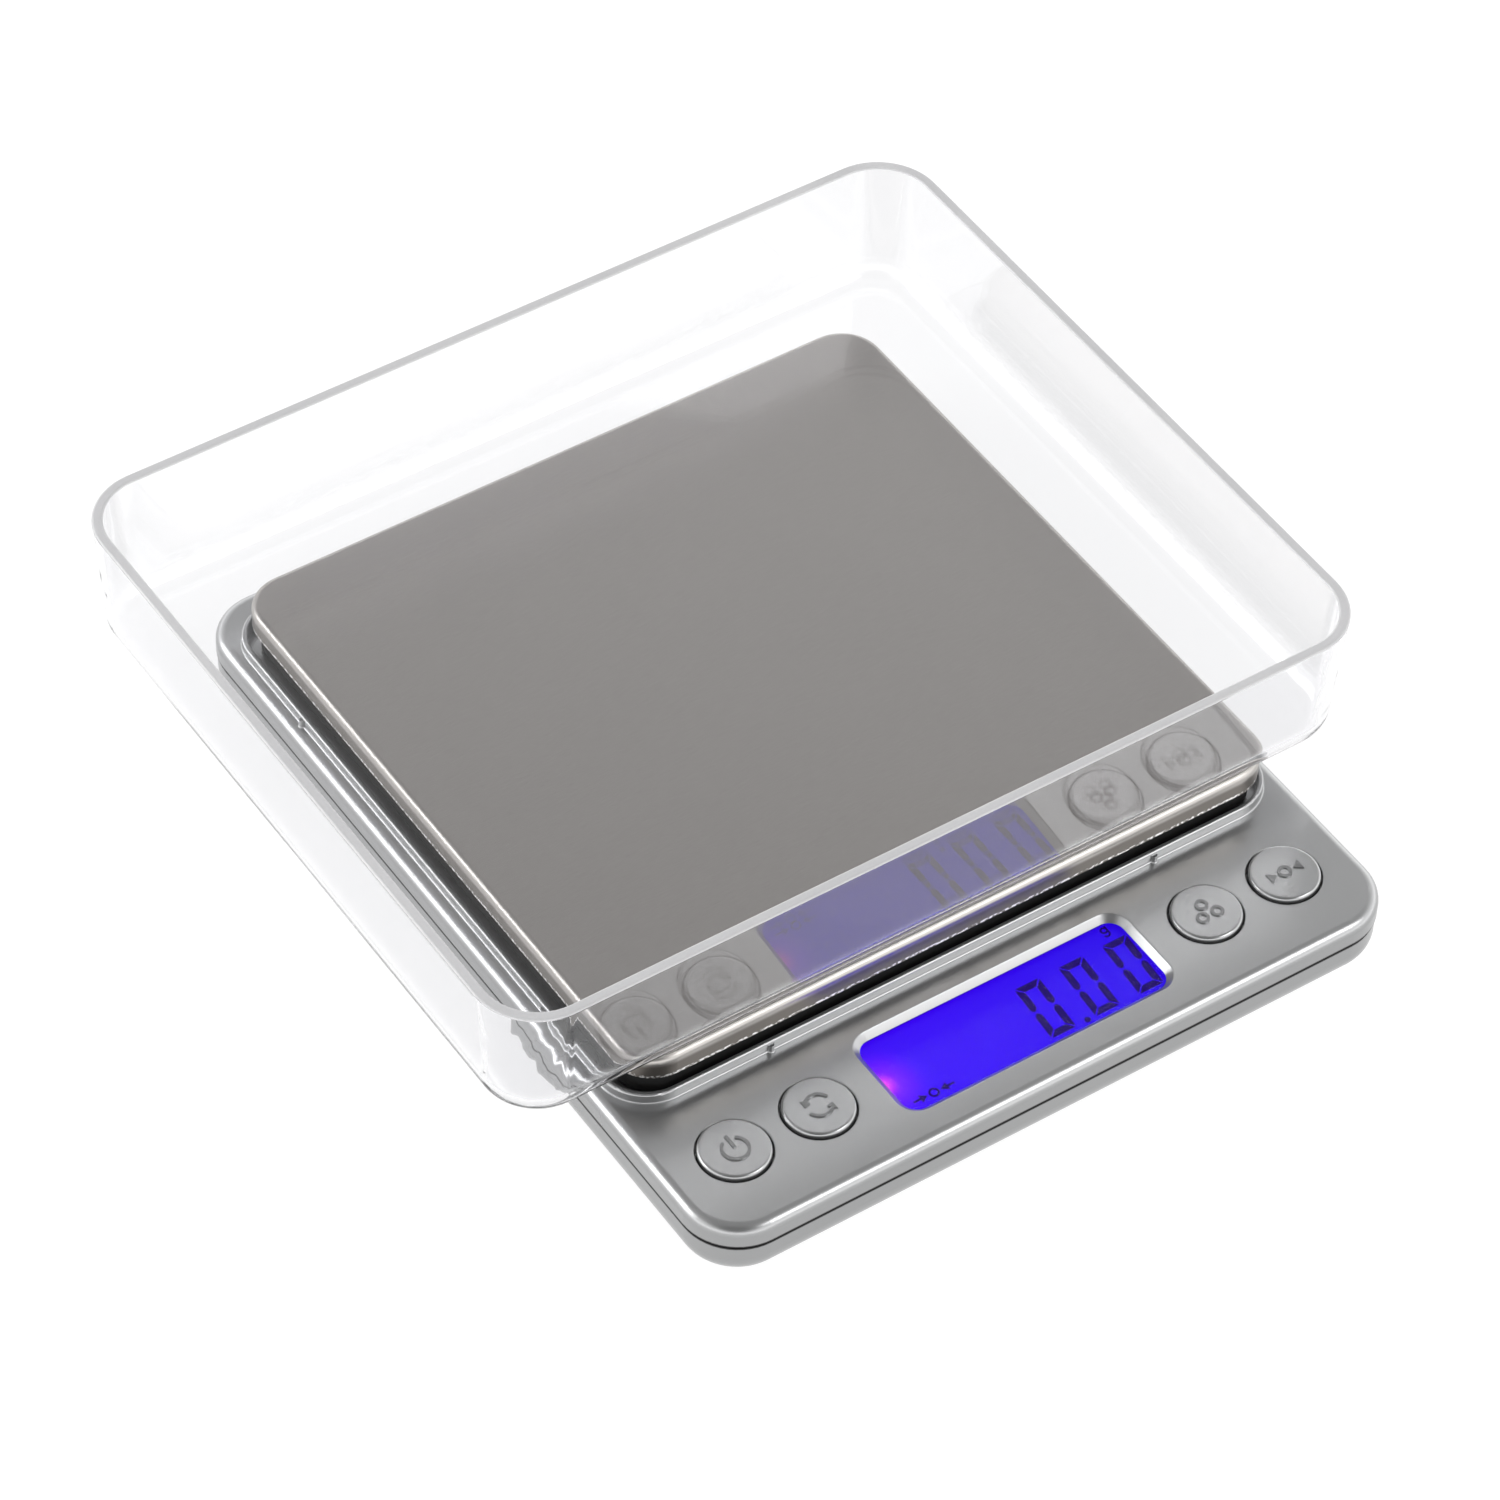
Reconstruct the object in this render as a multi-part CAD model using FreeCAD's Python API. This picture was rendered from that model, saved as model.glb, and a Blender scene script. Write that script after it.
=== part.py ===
import FreeCAD, Part
import math
import os
from FreeCAD import Vector

# Digital gram scale with a clear expansion tray, in millimetres.
# Everything is designed about the middle of the case, with the table at z = 0, +Z up,
# the control panel at the front (-Y) and +X to its right. At export the whole model
# moves so that the origin is the middle of the footprint of scale and tray together.

# ---------------------------------------------------------------- case
case_width = 106.0
case_depth = 127.0
case_corner_r = 8.0
case_wall = 1.8
foot_height = 1.2
floor_thickness = 1.8
under_edge_r = 3.8
lower_inset = 0.15
seam_z = 7.4
seam_gap = 0.45
seam_lip_thickness = 0.9
seam_lip_height = 1.0
seam_lip_play = 0.1
panel_z = 10.9
panel_thickness = 1.6
panel_edge_r = 1.5
post_r = 2.3
post_inset = 5.6
screw_r = 1.1
screw_head_r = 2.0
screw_head_height = 1.0
screw_play = 0.15
post_joint_drop = 1.4
case_screw_sink = 0.6
case_screw_length = 7.0

# ---------------------------------------------------------------- platform and its well
plate_width = 99.4
plate_depth = 97.65
plate_front_gap = 23.6
plate_corner_r = 6.0
sheet_thickness = 0.5
lip_height = 3.4
plate_bend_r = 0.9
tape_thickness = 0.5
carrier_clearance = 0.2
carrier_web = 1.6
carrier_rib_depth = 0.9
carrier_skirt_inset = 1.1
carrier_skirt_wall = 1.4
platform_travel = 0.4
stop_clearance = 0.3
ridge_front_gap = 0.7
ridge_side_gap = 1.6
ridge_thickness = 0.8
ridge_height = 1.6
ridge_edge_r = 0.3
ridge_foot_r = 0.25
pip_r = 0.45
pip_spacing_x = 59.7
pip_spacing_y = 59.0
well_drop = 0.6
well_floor = 1.0

# ---------------------------------------------------------------- weighing cell
cell_length = 50.0
cell_width = 12.0
cell_height = 6.0
cell_boss_height = 1.0
cell_hole_spacing = 6.0
cell_end_offset = 5.0
cell_pad_length = 12.0
cell_eye_r = 2.2
cell_screw_r = 1.25
cell_screw_play = 0.05
cell_screw_head_r = 2.2
cell_screw_head_height = 1.0
cell_screw_sink = 0.1
stop_r = 1.5
stop_boss_wall = 1.6
cell_opening_gap = 1.6
shim_thickness = 0.5

# ---------------------------------------------------------------- power
battery_r = 5.25
battery_length = 43.5
battery_tip_r = 1.9
battery_tip_length = 1.0
battery_play = 0.25
bay_end_room = 4.6
bay_wall = 1.2
bay_gap_to_cell = 8.0
lid_thickness = 1.0
lid_margin = 2.0
lid_clearance = 0.25
lid_tongue_width = 8.0
lid_tongue_spacing = 28.0
lid_tongue_rise = 0.75
lid_tongue_reach = 1.4
lid_latch_width = 15.4
lid_latch_depth = 7.0
lid_slit = 0.6
lid_grip_spacing = 1.2
contact_thickness = 0.35
tail_half_width = 1.0
tail_reach = 1.0

# ---------------------------------------------------------------- control panel
button_front_gap = 12.1
button_hole_r = 5.0
button_spacing = 2.6
button_to_frame = 0.45
button_gap = 0.25
button_proud = 0.65
button_edge_r = 0.45
button_rim_r = 0.2
button_flange = 0.4
button_flange_thickness = 0.6
button_stem_r = 1.6
button_travel = 0.5
mark_height = 0.18
window_width = 40.6
window_height = 12.9
window_offset_x = -0.15
window_bevel = 0.9
window_rim_r = 0.25
window_corner_r = 2.2
lens_thickness = 0.8
lens_margin = 2.4
glass_thickness = 1.7
glass_margin = 2.6
display_gap = 0.2
board_thickness = 1.2
board_floor_gap = 0.9
board_back_room = 12.0
switch_size = 6.0
switch_height = 1.5
plunger_r = 1.2
frame_wall = 1.2

# ---------------------------------------------------------------- feet
foot_r = 4.5
foot_inset = 13.0
foot_pocket = 0.5

# ---------------------------------------------------------------- expansion tray
tray_width = 131.0
tray_depth = 108.65
tray_height = 20.5
tray_offset_x = -3.5
tray_offset_y = 3.4
tray_wall = 1.5
tray_floor = 1.5
tray_draft = 1.2
tray_corner_r = 9.1
tray_base_r = 4.2
tray_rim_r = 0.35

# ---------------------------------------------------------------- levels and centres that follow
floor_z = foot_height + floor_thickness
case_screw_z = foot_height + case_screw_sink
panel_under_z = panel_z - panel_thickness
well_z = panel_z - well_drop
ridge_z = panel_z + ridge_height
plate_y = -case_depth / 2 + plate_front_gap + plate_depth / 2
button_y = -case_depth / 2 + button_front_gap
skirt_z = well_z + platform_travel + stop_clearance
skirt_width = plate_width - 2 * carrier_skirt_inset
skirt_depth = plate_depth - 2 * carrier_skirt_inset
cell_z = floor_z + cell_boss_height
cell_top_z = cell_z + cell_height
cell_fixed_x = -cell_length / 2
cell_free_x = cell_length / 2
board_z = floor_z + board_floor_gap
board_top_z = board_z + board_thickness
board_back_y = button_y + board_back_room
lens_z = panel_z - window_bevel - lens_thickness
glass_z = lens_z - display_gap - glass_thickness
bay_depth = 4 * battery_r + 2 * battery_play + 0.9
bay_width = battery_length + 2 * bay_end_room
bay_y = plate_y + cell_width / 2 + bay_gap_to_cell + bay_depth / 2
lid_z = foot_height + 0.05
lid_recess_top_z = lid_z + lid_thickness + 0.15
battery_z = lid_recess_top_z + 0.1 + battery_r
bay_roof_z = battery_z + battery_r + 0.2
carrier_rib_z = bay_roof_z + well_floor + platform_travel + stop_clearance
carrier_web_z = carrier_rib_z + carrier_rib_depth
carrier_top_z = carrier_web_z + carrier_web
plate_top_z = carrier_top_z + tape_thickness + sheet_thickness
hinge_y = bay_y + bay_depth / 2 + 1.0
hinge_z = lid_z + lid_thickness / 2
frame_half_width = window_width / 2 + glass_margin + frame_wall - window_offset_x
button_inner_x = frame_half_width + button_to_frame + button_hole_r + button_flange
button_outer_x = button_inner_x + 2 * button_hole_r + button_spacing
button_places = {
    "power": -button_outer_x,
    "mode": -button_inner_x,
    "count": button_inner_x,
    "tare": button_outer_x,
}
between_buttons_x = (button_inner_x + button_outer_x) / 2


# ---------------------------------------------------------------- helpers
def outline(width, depth, z, radius, cx=0.0, cy=0.0):
    """A closed rounded rectangle at height z."""
    x0, x1 = cx - width / 2, cx + width / 2
    y0, y1 = cy - depth / 2, cy + depth / 2
    corners = [(x1, y0, -90), (x1, y1, 0), (x0, y1, 90), (x0, y0, 180)]
    edges = []
    ends = []
    for x, y, start in corners:
        mx = x - math.copysign(radius, x - cx)
        my = y - math.copysign(radius, y - cy)
        points = []
        for turn in (start, start + 45, start + 90):
            a = math.radians(turn)
            points.append(Vector(mx + radius * math.cos(a), my + radius * math.sin(a), z))
        ends.append((points[0], points[2]))
        edges.append(Part.Arc(*points).toShape())
    sides = []
    for i, arc in enumerate(edges):
        sides.append(arc)
        sides.append(Part.LineSegment(ends[i][1], ends[(i + 1) % 4][0]).toShape())
    return Part.Wire(sides)


def slab(width, depth, z0, z1, radius, cx=0.0, cy=0.0):
    """A prism on a rounded rectangle."""
    face = Part.Face(outline(width, depth, z0, radius, cx, cy))
    return face.extrude(Vector(0, 0, z1 - z0))


def block(x0, x1, y0, y1, z0, z1):
    return Part.makeBox(x1 - x0, y1 - y0, z1 - z0, Vector(x0, y0, z0))


def rod(x, y, z0, z1, radius):
    return Part.makeCylinder(radius, z1 - z0, Vector(x, y, z0))


def rod_along_x(x0, x1, y, z, radius):
    return Part.makeCylinder(radius, x1 - x0, Vector(x0, y, z), Vector(1, 0, 0))


def rod_along_y(x, y0, y1, z, radius):
    return Part.makeCylinder(radius, y1 - y0, Vector(x, y0, z), Vector(0, 1, 0))


def edges_where(shape, test):
    """The edges whose two ends and middle all pass the test."""
    found = []
    for edge in shape.Edges:
        middle = edge.valueAt((edge.FirstParameter + edge.LastParameter) / 2)
        points = [vertex.Point for vertex in edge.Vertexes] + [middle]
        if all(test(p) for p in points):
            found.append(edge)
    return found


def level(z, tolerance=0.01):
    return lambda p: abs(p.z - z) < tolerance


def wire_tube(points, radius):
    """A round wire along straight runs joined by tangent arcs."""
    path = []
    here = points[0]
    for i in range(1, len(points) - 1):
        before = points[i] - points[i - 1]
        after = points[i + 1] - points[i]
        turn = before.getAngle(after)
        bend_r = 0.45 * min(before.Length, after.Length) / math.tan(turn / 2)
        print("wire bend radius", round(bend_r, 2), "turn", round(math.degrees(turn), 1))
        reach = bend_r * math.tan(turn / 2)
        into = Vector(before).normalize()
        out = Vector(after).normalize()
        start = points[i] - into * reach
        end = points[i] + out * reach
        half = Vector(out - into).normalize()
        middle = points[i] + half * (bend_r / math.cos(turn / 2) - bend_r)
        path.append(Part.LineSegment(here, start).toShape())
        path.append(Part.Arc(start, middle, end).toShape())
        here = end
    path.append(Part.LineSegment(here, points[-1]).toShape())
    spine = Part.Wire(path)
    direction = points[1] - points[0]
    section = Part.Wire([Part.Circle(points[0], direction, radius).toShape()])
    return spine.makePipeShell([section], True, False)


def mirrored_pairs(x, y):
    return [(-x, -y), (x, -y), (-x, y), (x, y)]


# ---------------------------------------------------------------- case
post_x = case_width / 2 - post_inset
post_y = case_depth / 2 - post_inset
post_joint_z = seam_z - post_joint_drop


def lid_outline(z0, z1, grow):
    width = bay_width + 2 * lid_margin + 2 * grow
    y0 = bay_y - bay_depth / 2 - lid_margin - grow
    y1 = hinge_y + lid_thickness / 2 + grow
    return block(-width / 2, width / 2, y0, y1, z0, z1)


def tongue_places():
    return [-lid_tongue_spacing / 2, lid_tongue_spacing / 2]


def seam_lip_outline(z0, z1, grow):
    """Outside of the lower shell's lip, which stands inside the upper shell's skirt."""
    inward = lower_inset + case_wall - seam_lip_thickness - grow
    return slab(case_width - 2 * inward, case_depth - 2 * inward, z0, z1,
                case_corner_r - inward)


def build_bottom_case():
    width = case_width - 2 * lower_inset
    depth = case_depth - 2 * lower_inset
    radius = case_corner_r - lower_inset
    shell = slab(width, depth, foot_height, seam_z - seam_gap / 2, radius)
    shell = shell.makeFillet(under_edge_r, edges_where(shell, level(foot_height)))
    hollow = slab(width - 2 * case_wall, depth - 2 * case_wall, floor_z, seam_z + 1,
                  radius - case_wall)
    hollow = hollow.makeFillet(under_edge_r - case_wall, edges_where(hollow, level(floor_z)))
    shell = shell.cut(hollow)
    lip = seam_lip_outline(seam_z - seam_gap / 2 - 0.5, seam_z + seam_lip_height, 0)
    lip = lip.cut(slab(width - 2 * case_wall, depth - 2 * case_wall, seam_z - 2, seam_z + 2,
                       radius - case_wall))
    shell = shell.fuse(lip)
    for x, y in mirrored_pairs(post_x, post_y):
        shell = shell.fuse(rod(x, y, floor_z - 0.5, post_joint_z, post_r))
    shell = shell.fuse(build_cell_boss()).fuse(build_bay_walls())
    for x, y in mirrored_pairs(post_x, post_y):
        shell = shell.cut(rod(x, y, 0, post_joint_z + 1, screw_r + screw_play))
        shell = shell.cut(rod(x, y, 0, case_screw_z + screw_head_height,
                              screw_head_r + screw_play))
    for x, y in foot_places():
        shell = shell.cut(rod(x, y, 0, foot_height + foot_pocket, foot_r + 0.05))
    for x in cell_hole_places(cell_fixed_x, 1):
        shell = shell.cut(rod(x, plate_y, 0, cell_z + 1, cell_screw_r + screw_play))
        shell = shell.cut(rod(x, plate_y, 0, foot_height + cell_screw_sink
                              + cell_screw_head_height, cell_screw_head_r + screw_play))
    shell = shell.cut(rod(cell_free_x - cell_end_offset, plate_y, 0, cell_z, stop_r))
    shell = shell.cut(lid_outline(0, lid_recess_top_z, lid_clearance))
    shell = shell.cut(block(-bay_width / 2, bay_width / 2, bay_y - bay_depth / 2,
                            bay_y + bay_depth / 2, 0, bay_roof_z))
    for y, way in battery_places().values():
        shell = shell.cut(tail_slot(y, 0.15))
    for x in tongue_places():
        slot_half = lid_tongue_width / 2 + 0.4
        shell = shell.cut(block(x - slot_half, x + slot_half, bay_y + bay_depth / 2 - 0.1,
                                hinge_y + 0.35, 0, floor_z + 0.01))
        shell = shell.cut(block(x - slot_half, x + slot_half, bay_y + bay_depth / 2 - 0.1,
                                hinge_y + 2.2, floor_z, floor_z + 1.7))
    return shell.removeSplitter()


def build_cell_boss():
    """The pad that the fixed end of the weighing cell is screwed to, and the stop's boss."""
    fixed = block(cell_fixed_x, cell_fixed_x + cell_pad_length,
                  plate_y - cell_width / 2, plate_y + cell_width / 2, floor_z - 0.2,
                  cell_z - shim_thickness)
    stop = rod(cell_free_x - cell_end_offset, plate_y, floor_z - 0.2,
               floor_z + 0.3, stop_r + stop_boss_wall)
    return fixed.fuse(stop)


def build_bay_walls():
    outer = block(-bay_width / 2 - bay_wall, bay_width / 2 + bay_wall,
                  bay_y - bay_depth / 2 - bay_wall, bay_y + bay_depth / 2 + bay_wall,
                  floor_z - 0.2, well_z - well_floor - 0.2)
    return outer


def build_ridge():
    """The raised lip round the platform's well, with its half-round pips."""
    inner_w, inner_d, inner_y = well_size()
    outer = slab(inner_w + 2 * ridge_thickness, inner_d + 2 * ridge_thickness, well_z, ridge_z,
                 plate_corner_r + ridge_thickness, 0, inner_y)
    front_y = inner_y - inner_d / 2 - ridge_thickness
    back_y = inner_y + inner_d / 2 + ridge_thickness
    side_x = inner_w / 2 + ridge_thickness
    for x in (-pip_spacing_x / 2, pip_spacing_x / 2):
        for y in (front_y, back_y):
            outer = outer.fuse(rod(x, y, well_z, ridge_z - ridge_edge_r - 0.1, pip_r))
    for y in (plate_y - pip_spacing_y / 2, plate_y + pip_spacing_y / 2):
        for x in (-side_x, side_x):
            outer = outer.fuse(rod(x, y, well_z, ridge_z - ridge_edge_r - 0.1, pip_r))
    return outer


def well_size():
    """Inner width, depth and middle of the well, around the carrier's skirt."""
    width = skirt_width + 2 * ridge_side_gap
    front = plate_y - skirt_depth / 2 - ridge_front_gap
    back = plate_y + skirt_depth / 2 + ridge_side_gap
    return width, back - front, (front + back) / 2


def build_top_case():
    shell = slab(case_width, case_depth, seam_z + seam_gap / 2, panel_z, case_corner_r)
    shell = shell.makeFillet(panel_edge_r, edges_where(shell, level(panel_z)))
    ridge = build_ridge()
    shell = shell.fuse(ridge)
    inner_w, inner_d, inner_y = well_size()
    well = slab(inner_w, inner_d, well_z, ridge_z + 1, plate_corner_r, 0, inner_y)
    shell = shell.cut(well)
    rim_edges = edges_where(shell, level(ridge_z))
    shell = shell.makeFillet(ridge_edge_r, rim_edges)
    cavity_w = case_width - 2 * case_wall
    cavity_d = case_depth - 2 * case_wall
    under_panel = slab(cavity_w, cavity_d, 0, panel_under_z, case_corner_r - case_wall)
    shell = shell.cut(under_panel)
    shell = shell.cut(seam_lip_outline(0, seam_z + seam_lip_height + seam_lip_play,
                                       seam_lip_play))
    roof_w = bay_width + 2 * bay_wall
    roof_d = bay_depth + 2 * bay_wall
    roof = block(-roof_w / 2, roof_w / 2, bay_y - roof_d / 2, bay_y + roof_d / 2,
                 well_z - well_floor, bay_roof_z + well_floor)
    shell = shell.fuse(roof)
    shell = shell.cut(block(-bay_width / 2, bay_width / 2, bay_y - bay_depth / 2,
                            bay_y + bay_depth / 2, 0, bay_roof_z))
    gap = cell_opening_gap
    shell = shell.cut(block(-cell_length / 2 - gap, cell_length / 2 + gap,
                            plate_y - cell_width / 2 - gap, plate_y + cell_width / 2 + gap,
                            0, well_z + 1))
    for x in button_places.values():
        shell = shell.cut(rod(x, button_y, 0, panel_z + 1, button_hole_r))
    shell = shell.cut(window_cut())
    hole_rims = [e for e in edges_where(shell, level(panel_z))
                 if e.Closed and isinstance(e.Curve, Part.Circle)]
    shell = shell.makeFillet(button_rim_r, hole_rims)
    window_reach = window_width / 2 + window_bevel + 0.1
    window_rim = edges_where(shell, lambda p: abs(p.z - panel_z) < 0.01
                             and abs(p.x - window_offset_x) < window_reach
                             and abs(p.y - button_y) < window_height / 2 + window_bevel + 0.1)
    shell = shell.makeFillet(window_rim_r, window_rim)
    shell = shell.makeFillet(ridge_foot_r, ridge_foot_edges(shell))
    for x, y in mirrored_pairs(post_x, post_y):
        shell = shell.fuse(rod(x, y, post_joint_z, panel_under_z + 0.3, post_r))
        shell = shell.cut(rod(x, y, post_joint_z - 1, panel_z - 0.8, screw_r))
    for x, y in board_screw_places():
        shell = shell.fuse(rod(x, y, board_top_z, panel_under_z + 0.3, 2.0))
        shell = shell.cut(rod(x, y, board_top_z - 1, panel_z - 0.9, 0.8))
    return shell.removeSplitter()


def ridge_foot_edges(shell):
    """Where the raised lip's outer wall and its pips meet the panel."""
    inner_w, inner_d, inner_y = well_size()
    reach_x = inner_w / 2 + ridge_thickness + pip_r + 0.05
    reach_y = inner_d / 2 + ridge_thickness + pip_r + 0.05
    return edges_where(shell, lambda p: abs(p.z - panel_z) < 0.01 and abs(p.x) < reach_x
                       and abs(p.y - inner_y) < reach_y)


def window_cut():
    """The display's opening: a sloping frame above a pocket for the lens."""
    grow = 2 * window_bevel
    low = outline(window_width, window_height, lens_z + lens_thickness,
                  window_corner_r, window_offset_x, button_y)
    high = outline(window_width + grow, window_height + grow, panel_z,
                   window_corner_r + window_bevel, window_offset_x, button_y)
    top = outline(window_width + 2 * grow, window_height + 2 * grow,
                  panel_z + window_bevel, window_corner_r + grow, window_offset_x, button_y)
    slope = Part.makeLoft([low, high], True, True).fuse(Part.makeLoft([high, top], True, True))
    throat = slab(window_width, window_height, lens_z - 1, lens_z + lens_thickness,
                  window_corner_r, window_offset_x, button_y)
    pocket = slab(window_width + 2 * lens_margin + 0.3, window_height + 2 * lens_margin + 0.3,
                  0, lens_z + lens_thickness, 1.0, window_offset_x, button_y)
    return slope.fuse(throat).fuse(pocket)


def foot_places():
    return mirrored_pairs(case_width / 2 - foot_inset, case_depth / 2 - foot_inset)


def build_rubber_feet():
    """Four round feet, chamfered at the floor, seated in shallow pockets."""
    feet = []
    for x, y in foot_places():
        foot = rod(x, y, 0, foot_height + foot_pocket, foot_r)
        feet.append(foot.makeChamfer(0.4, edges_where(foot, level(0))))
    return Part.makeCompound(feet)


def screw_up(x, y, head_z, head_r, head_h, length, shank_r):
    """A pan-head screw driven upwards, with a cross recess under its head."""
    head = rod(x, y, head_z, head_z + head_h, head_r)
    head = head.makeFillet(head_h * 0.4, edges_where(head, level(head_z)))
    shank = rod(x, y, head_z + head_h, head_z + head_h + length, shank_r)
    shank = shank.makeChamfer(shank_r * 0.4, edges_where(shank, level(head_z + head_h + length)))
    arm = head_r * 0.6
    cross = block(x - arm, x + arm, y - 0.22, y + 0.22, head_z - 1, head_z + head_h * 0.6)
    cross = cross.fuse(block(x - 0.22, x + 0.22, y - arm, y + arm, head_z - 1,
                             head_z + head_h * 0.6))
    return head.fuse(shank).cut(cross).removeSplitter()


def build_case_screws():
    return Part.makeCompound([
        screw_up(x, y, case_screw_z, screw_head_r, screw_head_height, case_screw_length,
                 screw_r)
        for x, y in mirrored_pairs(post_x, post_y)])


# ---------------------------------------------------------------- weighing cell
def cell_hole_places(end_x, inward):
    """The two tapped holes at one end of the cell, as x positions."""
    first = end_x + inward * (cell_pad_length - cell_hole_spacing) / 2
    return [first, first + inward * cell_hole_spacing]


def build_load_cell():
    beam = block(cell_fixed_x, cell_free_x, plate_y - cell_width / 2, plate_y + cell_width / 2,
                 cell_z, cell_top_z)
    beam = beam.makeFillet(0.3, [e for e in beam.Edges if abs(e.tangentAt(0).x) > 0.9])
    middle_z = (cell_z + cell_top_z) / 2
    for x in (-cell_eye_r * 1.5, cell_eye_r * 1.5):
        beam = beam.cut(rod_along_y(x, plate_y - cell_width, plate_y + cell_width, middle_z,
                                    cell_eye_r))
    beam = beam.cut(block(-cell_eye_r * 1.5, cell_eye_r * 1.5, plate_y - cell_width,
                          plate_y + cell_width, middle_z - 0.5, middle_z + 0.5))
    for x in cell_hole_places(cell_fixed_x, 1) + cell_hole_places(cell_free_x, -1):
        beam = beam.cut(rod(x, plate_y, 0, cell_top_z + 1, cell_screw_r + cell_screw_play))
    return beam


def build_strain_gauges():
    """The sealed gauges over the two thin webs of the cell."""
    seal = slab(4 * cell_eye_r, cell_width - 3, cell_top_z, cell_top_z + 0.4, 1.2, 0, plate_y)
    under = slab(4 * cell_eye_r, cell_width - 3, cell_z - 0.4, cell_z, 1.2, 0, plate_y)
    return Part.makeCompound([seal, under])


def build_cell_shim():
    shim = slab(cell_pad_length, cell_width, cell_z - shim_thickness, cell_z, 0.5,
                cell_fixed_x + cell_pad_length / 2, plate_y)
    for x in cell_hole_places(cell_fixed_x, 1):
        shim = shim.cut(rod(x, plate_y, 0, cell_z + 1, cell_screw_r + screw_play))
    return shim


def build_cell_base_screws():
    head_z = foot_height + cell_screw_sink
    length = cell_top_z - 1.0 - head_z - cell_screw_head_height
    return Part.makeCompound([
        screw_up(x, plate_y, head_z, cell_screw_head_r, cell_screw_head_height, length,
                 cell_screw_r)
        for x in cell_hole_places(cell_fixed_x, 1)])


def build_overload_stop():
    """A set screw under the free end, which the cell meets when it is overloaded."""
    x = cell_free_x - cell_end_offset
    stop = rod(x, plate_y, foot_height + 0.1, cell_z - platform_travel, stop_r)
    slot = block(x - stop_r, x + stop_r, plate_y - 0.25, plate_y + 0.25, 0, foot_height + 0.8)
    return stop.cut(slot)


# ---------------------------------------------------------------- platform
def build_platform_plate():
    """Pressed stainless sheet with its edges folded down."""
    outer = slab(plate_width, plate_depth, plate_top_z - lip_height, plate_top_z,
                 plate_corner_r, 0, plate_y)
    outer = outer.makeFillet(plate_bend_r, edges_where(outer, level(plate_top_z)))
    inside_z = plate_top_z - sheet_thickness
    inner = slab(plate_width - 2 * sheet_thickness, plate_depth - 2 * sheet_thickness,
                 plate_top_z - lip_height - 1, inside_z, plate_corner_r - sheet_thickness,
                 0, plate_y)
    inner = inner.makeFillet(plate_bend_r - sheet_thickness, edges_where(inner, level(inside_z)))
    return outer.cut(inner)


def build_adhesive_pads():
    pad_x = plate_width / 4
    pads = []
    for sx, sy in mirrored_pairs(pad_x, plate_depth / 4):
        pads.append(slab(plate_width / 4, plate_depth / 4, carrier_top_z,
                         carrier_top_z + tape_thickness, 1.0, sx, plate_y + sy))
    return Part.makeCompound(pads)


def build_platform_carrier():
    """Moulded tray under the plate: a web, a skirt, ribs and the boss on the cell."""
    fit = sheet_thickness + carrier_clearance
    web = slab(plate_width - 2 * fit, plate_depth - 2 * fit, carrier_web_z, carrier_top_z,
               plate_corner_r - fit, 0, plate_y)
    web = web.makeFillet(0.6, edges_where(web, level(carrier_top_z)))
    skirt_r = plate_corner_r - carrier_skirt_inset
    skirt = slab(skirt_width, skirt_depth, skirt_z, carrier_web_z + 0.5, skirt_r, 0, plate_y)
    skirt = skirt.cut(slab(skirt_width - 2 * carrier_skirt_wall,
                           skirt_depth - 2 * carrier_skirt_wall, 0, carrier_web_z,
                           skirt_r - carrier_skirt_wall, 0, plate_y))
    body = web.fuse(skirt)
    rib_reach = skirt_width / 2 - carrier_skirt_wall / 2
    for y in (plate_y - skirt_depth / 4, plate_y + cell_width / 2 + 3):
        body = body.fuse(block(-rib_reach, rib_reach, y - 0.6, y + 0.6, carrier_rib_z,
                               carrier_web_z + 0.5))
    body = body.fuse(block(cell_free_x - cell_pad_length, cell_free_x, plate_y - cell_width / 2,
                           plate_y + cell_width / 2, cell_top_z, carrier_web_z + 0.5))
    for x in cell_hole_places(cell_free_x, -1):
        body = body.cut(rod(x, plate_y, 0, plate_top_z, cell_screw_r + screw_play))
        body = body.cut(rod(x, plate_y, carrier_top_z - cell_screw_head_height - 0.2,
                            plate_top_z, cell_screw_head_r + screw_play))
    return body.removeSplitter()


def build_platform_screws():
    """Screws down through the carrier into the free end of the cell."""
    screws = []
    length = carrier_top_z - cell_screw_head_height - cell_z - 1.8
    for x in cell_hole_places(cell_free_x, -1):
        screw = screw_up(x, plate_y, 0, cell_screw_head_r, cell_screw_head_height, length,
                         cell_screw_r)
        screw.rotate(Vector(x, plate_y, 0), Vector(1, 0, 0), 180)
        screw.translate(Vector(0, 0, carrier_top_z - 0.15))
        screws.append(screw)
    return Part.makeCompound(screws)


# ---------------------------------------------------------------- power
def battery_places():
    offset = battery_r + battery_play / 2 + 0.15
    return {"battery_front": (bay_y - offset, 1), "battery_rear": (bay_y + offset, -1)}


def build_battery(y, way):
    """An AAA cell along X; way is 1 with its tip to the right."""
    half = battery_length / 2
    can = rod_along_x(-half, half, y, battery_z, battery_r)
    can = can.makeFillet(0.5, [e for e in can.Edges if e.Closed])
    tip = rod_along_x(half - 0.5, half + battery_tip_length, y, battery_z, battery_tip_r)
    cell = can.fuse(tip)
    if way < 0:
        cell.rotate(Vector(0, y, battery_z), Vector(0, 0, 1), 180)
    return cell.removeSplitter()


def tail_end_x():
    return -bay_width / 2 - bay_wall - tail_reach


def tail_slot(y, grow):
    """The solder tail of a contact, or the slot for it in the bay's wall."""
    half = tail_half_width + grow
    return block(tail_end_x() - grow, -bay_width / 2 + contact_thickness,
                 y - half, y + half, floor_z + 1.7 - grow, floor_z + 3.1 + grow)


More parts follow.
